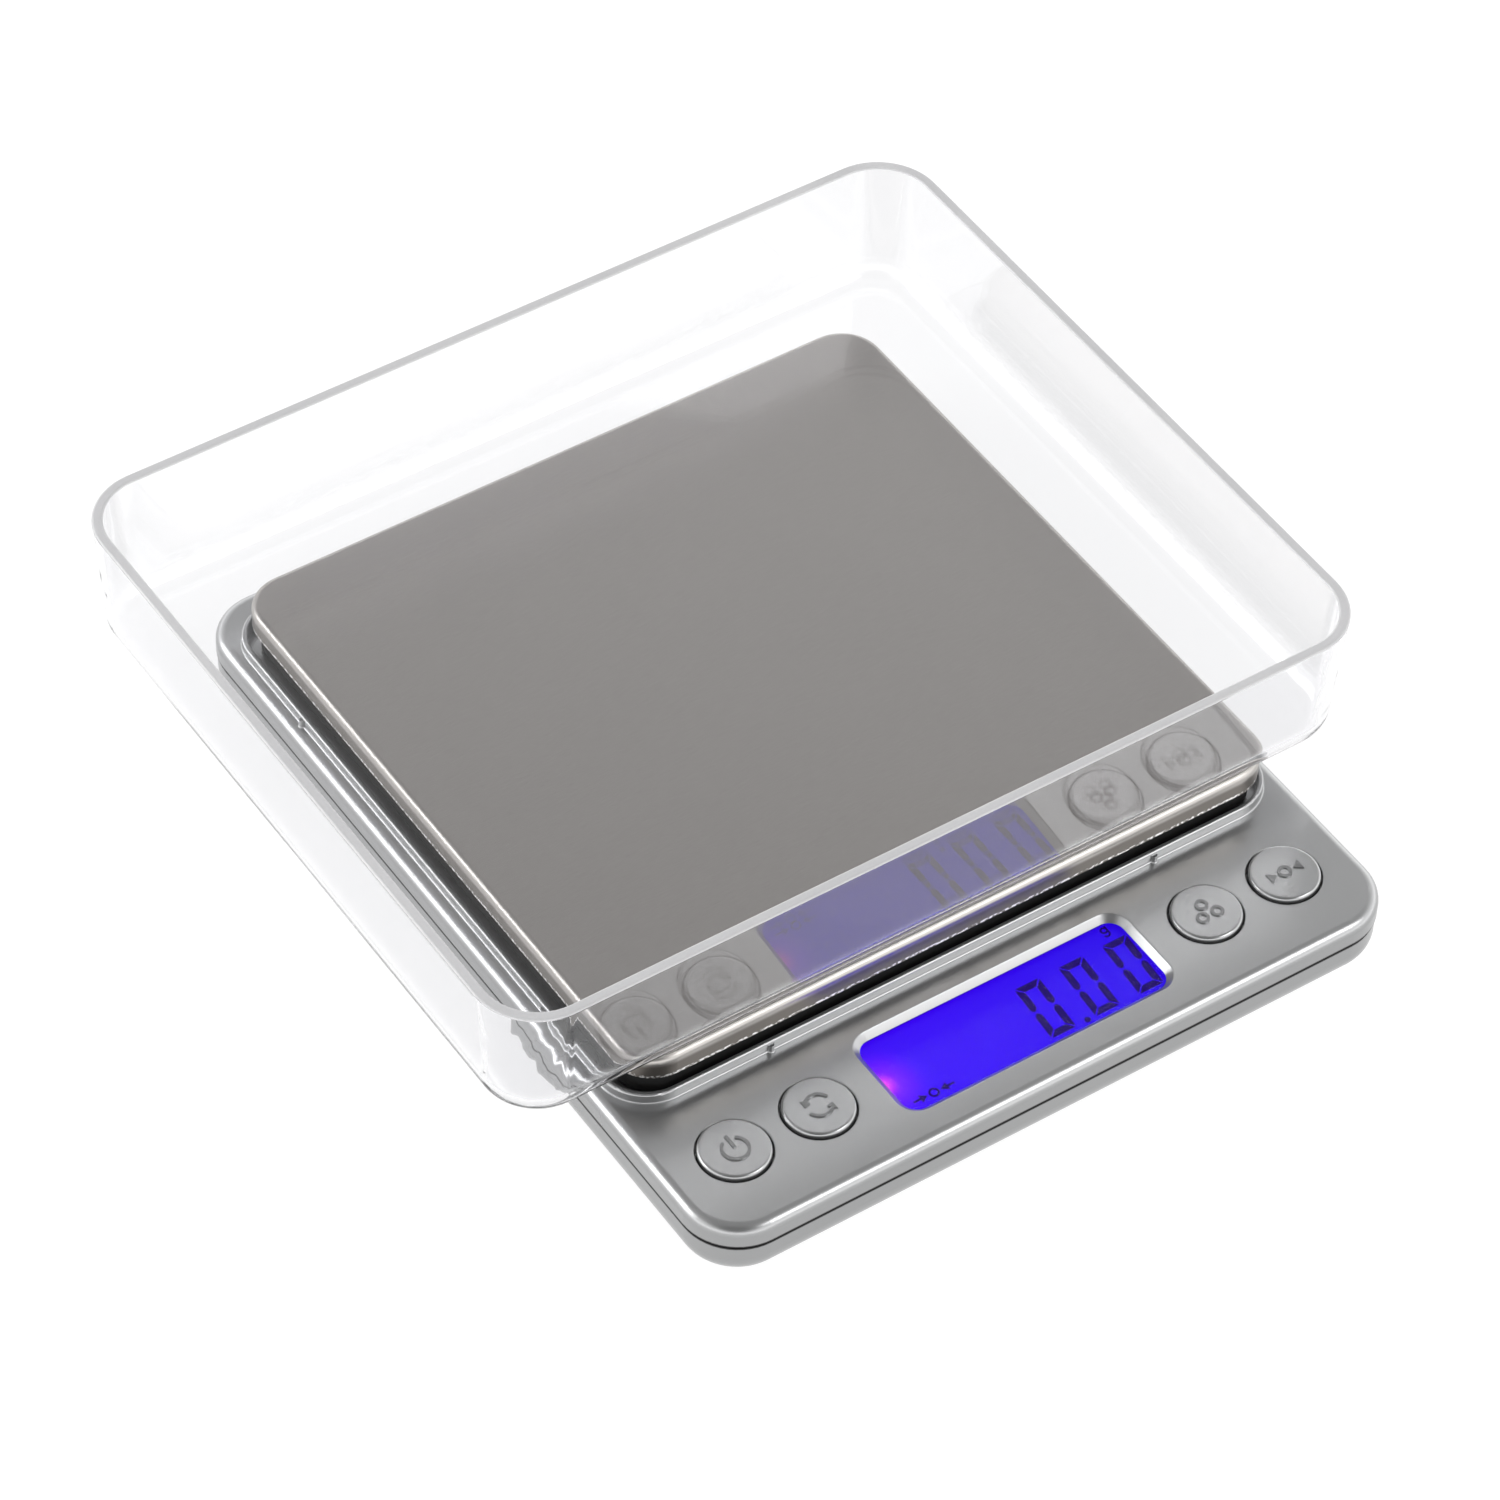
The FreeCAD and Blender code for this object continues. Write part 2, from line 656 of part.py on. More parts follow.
def contact_plate(x0, y, half_width):
    plate = block(x0, x0 + contact_thickness, y - half_width, y + half_width,
                  battery_z - 3.6, battery_z + 3.6)
    return plate.fuse(tail_slot(y, 0))


def build_spring(x_plate, x_end, y, radius=1.9, wire_r=0.25):
    """A stack of rings along X, stand-in for the turns of the contact spring."""
    rings = []
    turns = 4
    step = (x_end - x_plate - 2 * wire_r) / (turns - 1)
    for i in range(turns):
        centre = Vector(x_plate + wire_r + i * step, y, battery_z)
        rings.append(Part.makeTorus(radius, wire_r, centre, Vector(1, 0, 0)))
    bars = []
    for i in range(turns - 1):
        x = x_plate + wire_r + i * step
        side = radius if i % 2 == 0 else -radius
        bars.append(rod_along_x(x, x + step, y, battery_z + side, wire_r * 0.8))
    spring = rings[0]
    for piece in rings[1:] + bars:
        spring = spring.fuse(piece)
    return spring


def build_contacts():
    """Three bay contacts: a spring plate, a flat plate and the bridge that joins both cells."""
    left = -bay_width / 2 + 0.2
    right = bay_width / 2 - 0.2 - contact_thickness
    places = battery_places()
    front_y = places["battery_front"][0]
    rear_y = places["battery_rear"][0]
    spring_end = -battery_length / 2 - 0.05
    minus = contact_plate(left, front_y, 4.2)
    minus = minus.fuse(build_spring(left + contact_thickness - 0.02, spring_end, front_y))
    plus = contact_plate(left, rear_y, 4.2)
    dimple = rod_along_x(left, -battery_length / 2 - battery_tip_length - 0.05, rear_y,
                         battery_z, 1.4)
    plus = plus.fuse(dimple)
    bridge = block(right, right + contact_thickness, front_y - 4.2, rear_y + 4.2,
                   battery_z - 3.6, battery_z + 3.6)
    pad = rod_along_x(battery_length / 2 + battery_tip_length + 0.05, right + 0.1, front_y,
                      battery_z, 1.4)
    spring = build_spring(-right - 0.02, spring_end, rear_y)
    spring.rotate(Vector(0, rear_y, battery_z), Vector(0, 0, 1), 180)
    bridge = bridge.fuse(pad).fuse(spring)
    return {"battery_minus_contact": minus, "battery_plus_contact": plus,
            "battery_bridge_contact": bridge}


def build_battery_lid():
    """Lid with a full-round back edge, two hooked tongues and a thumb groove."""
    lid = lid_outline(lid_z, lid_z + lid_thickness, 0)
    round_edge = [e for e in lid.Edges
                  if abs(e.tangentAt(0).x) > 0.9 and e.BoundBox.YMin > hinge_y]
    lid = lid.makeFillet(lid_thickness / 2 - 0.01, round_edge)
    for x in tongue_places():
        half = lid_tongue_width / 2
        hook_z = floor_z + 0.2
        riser = block(x - half, x + half, hinge_y - 0.75, hinge_y + 0.1,
                      hinge_z, hook_z + lid_tongue_rise)
        hook = block(x - half, x + half, hinge_y - 0.75, hinge_y + lid_tongue_reach, hook_z,
                     hook_z + lid_tongue_rise)
        lid = lid.fuse(riser).fuse(hook)
    front = bay_y - bay_depth / 2 - lid_margin
    latch_x = lid_latch_width / 2
    for i in range(3):
        y = front + 3.0 + i * lid_grip_spacing
        lid = lid.cut(block(-latch_x + 1, latch_x - 1, y, y + lid_grip_spacing / 2, lid_z - 1,
                            lid_z + 0.3))
    slit = block(-latch_x - lid_slit, -latch_x, front - 1, front + lid_latch_depth, 0, floor_z)
    lid = lid.cut(slit).cut(slit.translated(Vector(lid_latch_width + lid_slit, 0, 0)))
    return lid.removeSplitter()


# ---------------------------------------------------------------- electronics
def board_screw_places():
    return mirrored_pairs_about(between_buttons_x, 7.0, button_y)


def mirrored_pairs_about(x, dy, y):
    return [(-x, y - dy), (x, y - dy), (-x, y + dy), (x, y + dy)]


def build_circuit_board():
    front = -case_depth / 2 + case_wall + 0.9
    back = board_back_y
    side = case_width / 2 - case_wall - 2.6
    board = block(-side, side, front, back, board_z, board_top_z)
    notch_y = -post_y + post_r + 0.6
    notch_x = post_x - post_r - 0.6
    for x0, x1 in ((-side - 1, -notch_x), (notch_x, side + 1)):
        board = board.cut(block(x0, x1, front - 1, notch_y, 0, panel_z))
    for x, y in board_screw_places():
        board = board.cut(rod(x, y, 0, panel_z, 0.95))
    return board


def build_board_screws():
    head_h = 0.6
    return Part.makeCompound([
        screw_up(x, y, board_z - head_h, 1.6, head_h, 5.0, 0.8)
        for x, y in board_screw_places()])


def stack_outline(z0, z1, y_trim, wall=0.0):
    """A block in the display stack, over the window; y_trim shortens its back."""
    half_w = window_width / 2 + glass_margin + wall
    half_d = window_height / 2 + glass_margin - 0.6 + wall
    return block(window_offset_x - half_w, window_offset_x + half_w, button_y - half_d,
                 button_y + half_d - y_trim, z0, z1)


def build_display_frame():
    ring = stack_outline(board_top_z + 0.02, glass_z + glass_thickness, 0, frame_wall)
    ring = ring.cut(stack_outline(0, panel_z, 0, 0.1))
    x = window_offset_x - window_width / 2 - glass_margin
    ring = ring.cut(block(x - 0.6, x + 0.2, button_y - 2.1, button_y + 2.1, 0,
                          glass_z - 0.2))
    return ring


def build_light_guide():
    return stack_outline(board_top_z + 0.05, glass_z - 0.1, 2.7)


def build_light_source():
    x = window_offset_x - window_width / 2 - glass_margin
    return block(x - 0.55, x - 0.05, button_y - 1.9, button_y + 1.9, board_top_z,
                 glass_z - 0.3)


def build_zebra_strip():
    half_w = window_width / 2 + glass_margin - 0.3
    back = button_y + window_height / 2 + glass_margin - 0.7
    return block(window_offset_x - half_w, window_offset_x + half_w, back - 2.0, back,
                 board_top_z, glass_z)


def build_display_glass():
    """Two bonded sheets, the upper one shorter to bare the contact ledge."""
    middle = glass_z + glass_thickness / 2
    low = stack_outline(glass_z, middle, 0)
    high = stack_outline(middle - 0.01, glass_z + glass_thickness, 1.6)
    return low.fuse(high)


def build_display_lens():
    return slab(window_width + 2 * lens_margin, window_height + 2 * lens_margin, lens_z,
                lens_z + lens_thickness - 0.02, 0.9, window_offset_x, button_y)


def build_switch(x):
    half = switch_size / 2
    body = block(x - half, x + half, button_y - half, button_y + half, board_top_z,
                 board_top_z + switch_height)
    return body.cut(rod(x, button_y, board_top_z + 0.2, panel_z, plunger_r + 0.1))


def plunger_top_z():
    return board_top_z + switch_height + button_travel + 0.2


def build_plunger(x):
    low = board_top_z + 0.2 + button_travel + 0.15
    return rod(x, button_y, low, plunger_top_z(), plunger_r)


def build_chips():
    """The converter and the memory beside the buttons."""
    converter = leaded_chip(between_buttons_x, button_y, 3.0, 8.6, 8)
    memory = leaded_chip(-between_buttons_x, button_y, 3.0, 4.9, 4)
    return {"converter_chip": converter, "memory_chip": memory}


def leaded_chip(x, y, width, length, leads):
    body = block(x - width / 2, x + width / 2, y - length / 2, y + length / 2,
                 board_top_z + 0.1, board_top_z + 1.4)
    body = body.makeChamfer(0.2, edges_where(body, level(board_top_z + 1.4)))
    pitch = length / leads
    for i in range(leads):
        lead_y = y - length / 2 + pitch * (i + 0.5)
        body = body.fuse(block(x - width / 2 - 0.5, x + width / 2 + 0.5, lead_y - 0.18,
                               lead_y + 0.18, board_top_z, board_top_z + 0.5))
    return body


def build_processor_blob():
    """The black resin over the bonded processor, under the board."""
    radius = 5.0
    blob = rod(-8, button_y, board_z - 0.65, board_z, radius)
    return blob.makeFillet(0.6, edges_where(blob, level(board_z - 0.65)))


# ---------------------------------------------------------------- wiring
def build_cell_wires():
    """Four fine leads from the fixed end of the cell to the board."""
    wires = []
    start_x = cell_fixed_x + 2 * cell_end_offset + cell_hole_spacing
    side_y = plate_y - cell_width / 2
    for i in range(4):
        x = start_x + 1.4 * i
        land = -12.0 + 1.4 * i
        wires.append(wire_tube([
            Vector(x, side_y, cell_z + 2.2),
            Vector(x, side_y - 9, cell_z + 2.2),
            Vector((x + land) / 2 - 3, side_y - 19, cell_z + 0.9),
            Vector(land, board_back_y + 9, cell_z + 1.2),
            Vector(land, board_back_y - 1.2, board_top_z + 0.5)], 0.4))
    return Part.makeCompound(wires)


def build_battery_leads():
    """The leads from the two left-hand contacts to the board."""
    leads = []
    x = tail_end_x()
    places = battery_places()
    for i, name in enumerate(("battery_front", "battery_rear")):
        y = places[name][0]
        away = 3.0 + 3.2 * i
        leads.append(wire_tube([
            Vector(x, y, floor_z + 2.4),
            Vector(x - away, y, floor_z + 2.4),
            Vector(x - away - 0.6, y - 9, floor_z + 2.0),
            Vector(x - away - 1.0, plate_y + 2, floor_z + 1.5),
            Vector(x - away + 0.6, plate_y - 20, floor_z + 1.3),
            Vector(x - away - 0.4, board_back_y + 11, floor_z + 1.6),
            Vector(x - away - 0.4, board_back_y - 1.2, board_top_z + 0.55)], 0.45))
    return Part.makeCompound(leads)


# ---------------------------------------------------------------- buttons
def build_button(x, mark):
    """A domed cap with a hidden flange, a stem on the switch and a raised symbol."""
    radius = button_hole_r - button_gap
    top = panel_z + button_proud
    low = plunger_top_z()
    flange_z = panel_under_z - 0.3 - button_flange_thickness
    cap = rod(x, button_y, flange_z, top, radius)
    cap = cap.makeFillet(button_edge_r, edges_where(cap, level(top)))
    flange = rod(x, button_y, flange_z, flange_z + button_flange_thickness,
                 button_hole_r + button_flange)
    stem = rod(x, button_y, low, flange_z + 0.1, button_stem_r)
    button = cap.fuse(flange).fuse(stem)
    for piece in mark(x, button_y, top - 0.05, top + mark_height):
        button = button.fuse(piece)
    return button.removeSplitter()


def arc_band(x, y, z0, z1, radius, width, start, sweep):
    """A flat strip bent along an arc about (x, y); angles in degrees."""
    ring = Part.makeCylinder(radius + width / 2, z1 - z0, Vector(x, y, z0), Vector(0, 0, 1), sweep)
    hole = rod(x, y, z0 - 1, z1 + 1, radius - width / 2)
    ring = ring.cut(hole)
    ring.rotate(Vector(x, y, z0), Vector(0, 0, 1), start)
    return ring


def power_mark(x, y, z0, z1):
    ring = arc_band(x, y - 0.2, z0, z1, 1.75, 0.42, 120, 300)
    bar = block(x - 0.21, x + 0.21, y - 0.1, y + 2.1, z0, z1)
    return [ring, bar]


def mode_mark(x, y, z0, z1):
    """Two arrows chasing each other."""
    pieces = []
    for turn in (0, 180):
        band = arc_band(x, y, z0, z1, 1.75, 0.42, turn + 20, 115)
        a = math.radians(turn + 135)
        tip = Vector(x + 1.75 * math.cos(a + 0.5), y + 1.75 * math.sin(a + 0.5), z0)
        out = Vector(x + 2.45 * math.cos(a), y + 2.45 * math.sin(a), z0)
        into = Vector(x + 1.05 * math.cos(a), y + 1.05 * math.sin(a), z0)
        head = Part.Face(Part.makePolygon([tip, out, into, tip])).extrude(Vector(0, 0, z1 - z0))
        pieces += [band, head]
    return pieces


def count_mark(x, y, z0, z1):
    """Three counted pieces in a small heap."""
    spots = [(-1.15, -0.75), (1.15, -0.75), (0.0, 1.15)]
    return [arc_band(x + dx, y + dy, z0, z1, 0.72, 0.4, 0, 360) for dx, dy in spots]


def tare_mark(x, y, z0, z1):
    """Two arrowheads closing on a zero."""
    pieces = [arc_band(x, y, z0, z1, 0.8, 0.42, 0, 360)]
    for side in (-1, 1):
        tip = Vector(x + side * 1.35, y, z0)
        up = Vector(x + side * 2.5, y + 0.85, z0)
        down = Vector(x + side * 2.5, y - 0.85, z0)
        face = Part.Face(Part.makePolygon([tip, up, down, tip]))
        pieces.append(face.extrude(Vector(0, 0, z1 - z0)))
    return pieces


# ---------------------------------------------------------------- expansion tray
def tray_shell(inset, z0, z1, base_r):
    """The tray's outside at inset 0, or its hollow at inset = wall."""
    slope = tray_draft / tray_height
    low = tray_draft + inset - slope * (z0 - plate_top_z)
    high = tray_draft + inset - slope * (z1 - plate_top_z)
    cy = plate_y + tray_offset_y
    wires = []
    for shrink, z in ((low, z0), (high, z1)):
        wires.append(outline(tray_width - 2 * shrink, tray_depth - 2 * shrink, z,
                             tray_corner_r - shrink, tray_offset_x, cy))
    solid = Part.makeLoft(wires, True, True)
    return solid.makeFillet(base_r, edges_where(solid, level(z0)))


def build_tray():
    rim_z = plate_top_z + tray_height
    outside = tray_shell(0.0, plate_top_z, rim_z, tray_base_r)
    hollow = tray_shell(tray_wall, plate_top_z + tray_floor, rim_z + 2,
                        tray_base_r - tray_wall)
    tray = outside.cut(hollow)
    return tray.makeFillet(tray_rim_r, edges_where(tray, level(rim_z)))


# ---------------------------------------------------------------- assembly
def build_all():
    nodes = {
        "bottom_case": build_bottom_case(),
        "top_case": build_top_case(),
        "rubber_feet": build_rubber_feet(),
        "case_screws": build_case_screws(),
        "load_cell": build_load_cell(),
        "strain_gauge_seals": build_strain_gauges(),
        "load_cell_shim": build_cell_shim(),
        "load_cell_base_screws": build_cell_base_screws(),
        "overload_stop_screw": build_overload_stop(),
        "platform_plate": build_platform_plate(),
        "platform_adhesive_pads": build_adhesive_pads(),
        "platform_carrier": build_platform_carrier(),
        "platform_screws": build_platform_screws(),
        "battery_lid": build_battery_lid(),
        "circuit_board": build_circuit_board(),
        "board_screws": build_board_screws(),
        "display_lens": build_display_lens(),
        "display_glass": build_display_glass(),
        "display_frame": build_display_frame(),
        "light_guide": build_light_guide(),
        "light_source": build_light_source(),
        "zebra_strip": build_zebra_strip(),
        "processor_blob": build_processor_blob(),
        "load_cell_wires": build_cell_wires(),
        "battery_leads": build_battery_leads(),
        "tray": build_tray(),
    }
    nodes.update(build_chips())
    nodes.update(build_contacts())
    for name, (y, way) in battery_places().items():
        nodes[name] = build_battery(y, way)
    marks = {"power": power_mark, "mode": mode_mark, "count": count_mark, "tare": tare_mark}
    for name, x in button_places.items():
        nodes[name + "_button"] = build_button(x, marks[name])
        nodes[name + "_switch"] = build_switch(x)
        nodes[name + "_plunger"] = build_plunger(x)
    return nodes


def footprint_middle():
    """Middle of the footprint that the case and the tray cover together."""
    tray_y = plate_y + tray_offset_y
    x0 = min(-case_width / 2, tray_offset_x - tray_width / 2)
    x1 = max(case_width / 2, tray_offset_x + tray_width / 2)
    y0 = min(-case_depth / 2, tray_y - tray_depth / 2)
    y1 = max(case_depth / 2, tray_y + tray_depth / 2)
    return Vector((x0 + x1) / 2, (y0 + y1) / 2, 0)


def main():
    os.makedirs("parts", exist_ok=True)
    shift = footprint_middle() * -1
    print("shift", shift)
    for name, shape in build_all().items():
        shape.translate(shift)
        solids = shape.Solids
        if len(solids) == 1:
            shape = solids[0]
        print(name, len(solids), round(shape.Volume, 2), shape.isValid())
        shape.exportStep("parts/" + name + ".step")


main()
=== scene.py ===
"""Looks for a pocket gram scale: painted case, brushed platform, clear tray and a lit display."""

from math import cos, radians, sin, tau

import bmesh
import bpy
from mathutils import Matrix, Vector


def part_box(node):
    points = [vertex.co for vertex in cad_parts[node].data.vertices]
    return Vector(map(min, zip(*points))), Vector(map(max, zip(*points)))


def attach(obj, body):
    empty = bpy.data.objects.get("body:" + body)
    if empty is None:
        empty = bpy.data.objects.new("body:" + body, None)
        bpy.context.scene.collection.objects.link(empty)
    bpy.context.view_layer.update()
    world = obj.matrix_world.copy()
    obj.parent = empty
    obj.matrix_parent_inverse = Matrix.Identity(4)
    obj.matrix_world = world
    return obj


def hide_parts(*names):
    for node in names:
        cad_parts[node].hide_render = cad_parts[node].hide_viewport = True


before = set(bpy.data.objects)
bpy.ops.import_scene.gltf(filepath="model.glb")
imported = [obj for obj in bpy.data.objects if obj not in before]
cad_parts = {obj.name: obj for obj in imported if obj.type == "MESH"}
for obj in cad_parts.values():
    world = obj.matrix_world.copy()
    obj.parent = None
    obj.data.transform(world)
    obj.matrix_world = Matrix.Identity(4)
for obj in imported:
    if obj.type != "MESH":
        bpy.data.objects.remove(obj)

bpy.context.view_layer.update()

MM = 0.001
UP = Vector((0, 0, 1))
KEYS = ("power", "mode", "count", "tare")
PANEL_Z = 10.9 * MM
SEAM_GAP = 0.45 * MM
SEAM_MIDDLE = 7.4 * MM
BUTTON_HOLE_R = 5.0 * MM


# ---------------------------------------------------------------- shader kit
class Term:
    """One shader value. Arithmetic on it adds Math nodes to its finish."""

    def __init__(self, finish, socket):
        self.finish = finish
        self.socket = socket

    def math(self, operation, *terms):
        return self.finish.node("ShaderNodeMath", {"operation": operation}, dict(enumerate(terms)))

    def __add__(self, other):
        return self.math("ADD", self, other)

    def __sub__(self, other):
        return self.math("SUBTRACT", self, other)

    def __rsub__(self, other):
        return self.math("SUBTRACT", other, self)

    def __mul__(self, other):
        return self.math("MULTIPLY", self, other)

    def __truediv__(self, other):
        return self.math("DIVIDE", self, other)

    def __pow__(self, other):
        return self.math("POWER", self, other)

    def __gt__(self, other):
        return self.math("GREATER_THAN", self, other)

    def __lt__(self, other):
        return self.math("LESS_THAN", self, other)

    __radd__ = __add__
    __rmul__ = __mul__

    def size(self):
        return self.math("ABSOLUTE", self)

    def fraction(self):
        return self.math("FRACT", self)

    def floor(self):
        return self.math("FLOOR", self)

    def or_more(self, other):
        return self.math("MAXIMUM", self, other)

    def ramp(self, low, high, out_low=0.0, out_high=1.0):
        """Smoothly from out_low at low to out_high at high, held outside."""
        return self.finish.node("ShaderNodeMapRange", {"interpolation_type": "SMOOTHSTEP"},
                                {"Value": self, "From Min": low, "From Max": high,
                                 "To Min": out_low, "To Max": out_high})


class Finish:
    """A material on the bench: node() adds any node and hands back one of its sockets."""

    def __init__(self, name, world=False):
        if world:
            self.material = bpy.data.worlds.new(name)
        else:
            self.material = bpy.data.materials.new(name)
        self.material.use_nodes = True
        self.tree = self.material.node_tree
        self.tree.nodes.clear()

    def node(self, kind, settings=None, inputs=None, output=0):
        made = self.tree.nodes.new(kind)
        for name, value in (settings or {}).items():
            if name == "stops":
                set_stops(made.color_ramp, value)
            else:
                setattr(made, name, value)
        for name, value in (inputs or {}).items():
            socket = find_socket(made.inputs, name)
            if isinstance(value, Term):
                self.tree.links.new(value.socket, socket)
            else:
                socket.default_value = value
        return Term(self, find_socket(made.outputs, output))

    def place(self):
        """The point on the piece, in metres, in the object's own axes."""
        return self.node("ShaderNodeTexCoord", output="Object")

    def axis(self, vector, letter):
        """The X, Y or Z of a vector."""
        return self.node("ShaderNodeSeparateXYZ", None, {0: vector}, letter)

    def stretched(self, vector, scale):
        return self.node("ShaderNodeVectorMath", {"operation": "MULTIPLY"},
                         {0: vector, 1: scale})

    def distance(self, vector, point):
        return self.node("ShaderNodeVectorMath", {"operation": "DISTANCE"},
                         {0: vector, 1: point}, "Value")

    def noise(self, vector, per_metre, detail=2.0, roughness=0.5):
        return self.node("ShaderNodeTexNoise", None,
                         {"Vector": vector, "Scale": per_metre, "Detail": detail,
                          "Roughness": roughness}, "Fac")

    def cells(self, vector, per_metre, output="Distance"):
        return self.node("ShaderNodeTexVoronoi", None, {"Vector": vector, "Scale": per_metre},
                         output)

    def blend(self, share, first, second):
        """From the first colour to the second as share goes from 0 to 1."""
        return self.node("ShaderNodeMix", {"data_type": "RGBA"},
                         {"Factor_Float": share, "A_Color": first, "B_Color": second},
                         "Result_Color")

    def relief(self, height, depth, strength=1.0):
        """A bump whose height runs over depth metres."""
        return self.node("ShaderNodeBump", None,
                         {"Height": height, "Distance": depth, "Strength": strength}, "Normal")

    def surface(self, **sockets):
        """The Principled surface; underscores in names stand for spaces."""
        return self.node("ShaderNodeBsdfPrincipled", None,
                         {name.replace("_", " "): value for name, value in sockets.items()})

    def done(self, shader, output="ShaderNodeOutputMaterial"):
        self.node(output, None, {"Surface": shader}, None)
        return self.material


def find_socket(sockets, name):
    """A socket by its identifier, its name or its number."""
    if name is None:
        return None
    if isinstance(name, int):
        return sockets[name]
    for socket in sockets:
        if socket.identifier == name:
            return socket
    return sockets[name]


def set_stops(color_ramp, stops):
    """Stops as (position, colour) pairs."""
    elements = color_ramp.elements
    while len(elements) < len(stops):
        elements.new(0.5)
    for element, (position, colour) in zip(elements, stops):
        element.position = position
        element.color = colour


def grey(value, warmth=0.0):
    """An opaque near-grey; warmth tips it from blue to brown."""
    return (value * (1 + warmth), value, value * (1 - warmth), 1.0)


def colour(red, green, blue):
    return (red, green, blue, 1.0)


# ---------------------------------------------------------------- finishes
SEAM_SHADE = 0.2 * MM
HOLE_SHADE = 0.03 * MM
HOLE_EDGE = 0.12 * MM
SKIRT_DEPTH = 1.6 * MM
SKIRT_EDGE = 0.1 * MM
MARK_DEPTH = 0.08 * MM


def painted_seam_and_hole_shade(f, at):
    """1 where shade is painted: in and just beside the seam between the shells, and on the walls of the
    button holes.
    """
    x, y, z = (f.axis(at, letter) for letter in "XYZ")
    seam = ((z - SEAM_MIDDLE) / (SEAM_GAP / 2 + SEAM_SHADE)).size() < 1.0
    boxes = [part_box(key + "_button") for key in KEYS]
    centres = [((low.x + high.x) / 2, (low.y + high.y) / 2) for low, high in boxes]
    middle_x = sum(centre[0] for centre in centres) / len(centres)
    pair_x = (centres[3][0] + centres[2][0]) / 2 - middle_x
    apart = (centres[3][0] - centres[2][0]) / 2
    across = ((x - middle_x).size() - pair_x).size() - apart
    away = y - centres[0][1]
    near = (across * across + away * away) ** 0.5 < BUTTON_HOLE_R + HOLE_SHADE
    walls = near * (z < PANEL_Z - HOLE_EDGE) * (z > SEAM_MIDDLE)
    return seam.or_more(walls)


def silver_paint(name, roughness=0.28, tone=0.43, shell=False, mark_z=None):
    """Satin silver lacquer on ABS: faint metal flake in a clear coat, with a little orange peel.

    A shell gets painted shade down its sides, and painted shade in and beside its seam and on its
    button-hole walls. What stands above mark_z is darker: painted shade on the raised marks.
    """
    f = Finish(name)
    at = f.place()
    z = f.axis(at, "Z")
    flake = f.node("ShaderNodeSeparateColor", None, {0: f.cells(at, 4600, "Color")}, "Red")
    drift = f.noise(at, 55, 3)
    peel = f.noise(at, 500, 1)
    shade = flake * 0.1 + drift * 0.9
    paint = f.blend(shade, grey(tone * 0.95, -0.012), grey(tone * 1.05, -0.004))
    metal_share = 0.85
    if shell:
        # Painted shade: the sides darken below the panel's edge, most from the skirt depth down.
        thin = z.ramp(PANEL_Z - SKIRT_DEPTH, PANEL_Z - SKIRT_EDGE, 0.24, 0.0)
        paint = f.blend(thin, paint, grey(0.02))
        bare = painted_seam_and_hole_shade(f, at)
        # Painted shade: the seam band and the button-hole walls turn near-black and lose their metal.
        paint = f.blend(bare, paint, grey(0.006))
        metal_share = (1 - bare) * metal_share
    if mark_z is not None:
        # Painted shade: the raised marks on the buttons are darkened.
        paint = f.blend((z > mark_z) * 0.6, paint, grey(0.1))
    return f.done(f.surface(
        Base_Color=paint,
        Metallic=metal_share,
        Roughness=drift * 0.04 + (roughness - 0.02),
        Coat_Weight=0.12,
        Coat_Roughness=0.2,
        Normal=f.relief(peel, 0.001 * MM, 0.3)))


FOLD_START = 0.8 * MM
FOLD_END = 1.6 * MM
RAW_EDGE = 0.4 * MM


def brushed_stainless(name):
    """Thin stainless sheet: a fine grain along its width, a painted dark reflection down its bent lip, and
    a bright cut edge.
    """
    f = Finish(name)
    at = f.place()
    grain = f.noise(f.stretched(at, (1.0, 26.0, 26.0)), 420, 4, 0.62)
    fine = f.noise(f.stretched(at, (1.0, 40.0, 40.0)), 1500, 2, 0.6)
    cloud = f.noise(at, 28, 2)
    streak = grain * 0.6 + fine * 0.4
    steel = f.blend(streak.ramp(0.25, 0.75), colour(0.405, 0.385, 0.365),
                    colour(0.475, 0.455, 0.435))
    low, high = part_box("platform_plate")
    z = f.axis(at, "Z")
    # Painted reflection: the lower part of the bent lip is darkened towards dark brown.
    painted_lip_shade = z.ramp(high.z - FOLD_END, high.z - FOLD_START, 0.75, 0.0)
    steel = f.blend(painted_lip_shade, steel, colour(0.10, 0.085, 0.07))
    chips = f.noise(at, 2400, 1).ramp(0.40, 0.60) * (z < low.z + RAW_EDGE)
    steel = f.blend(chips, steel, grey(0.9, 0.02))
    return f.done(f.surface(
        Base_Color=steel,
        Metallic=1.0,
        Roughness=streak * 0.14 + cloud * 0.08 + 0.2,
        Normal=f.relief(streak, 0.000012, 0.35)))


def clear_styrene(name, ior=1.5, waviness=0.02, tint=(0.905, 0.905, 0.915, 1.0)):
    """Polished clear moulding: slow waves from the mould, and light that passes on to what is under it."""
    f = Finish(name)
    at = f.place()
    waves = f.noise(at, 24, 0)
    glass = f.surface(
        Base_Color=tint,
        Roughness=0.0,
        IOR=ior,
        Transmission_Weight=1.0,
        Normal=f.relief(waves, waviness * MM, 1.0))
    lets_light_by = f.node("ShaderNodeBsdfTransparent", None, {"Color": colour(0.95, 0.95, 0.95)})
    shadow_ray = f.node("ShaderNodeLightPath", output="Is Shadow Ray")
    return f.done(f.node("ShaderNodeMixShader", None,
                         {0: shadow_ray, 1: glass, 2: lets_light_by}))


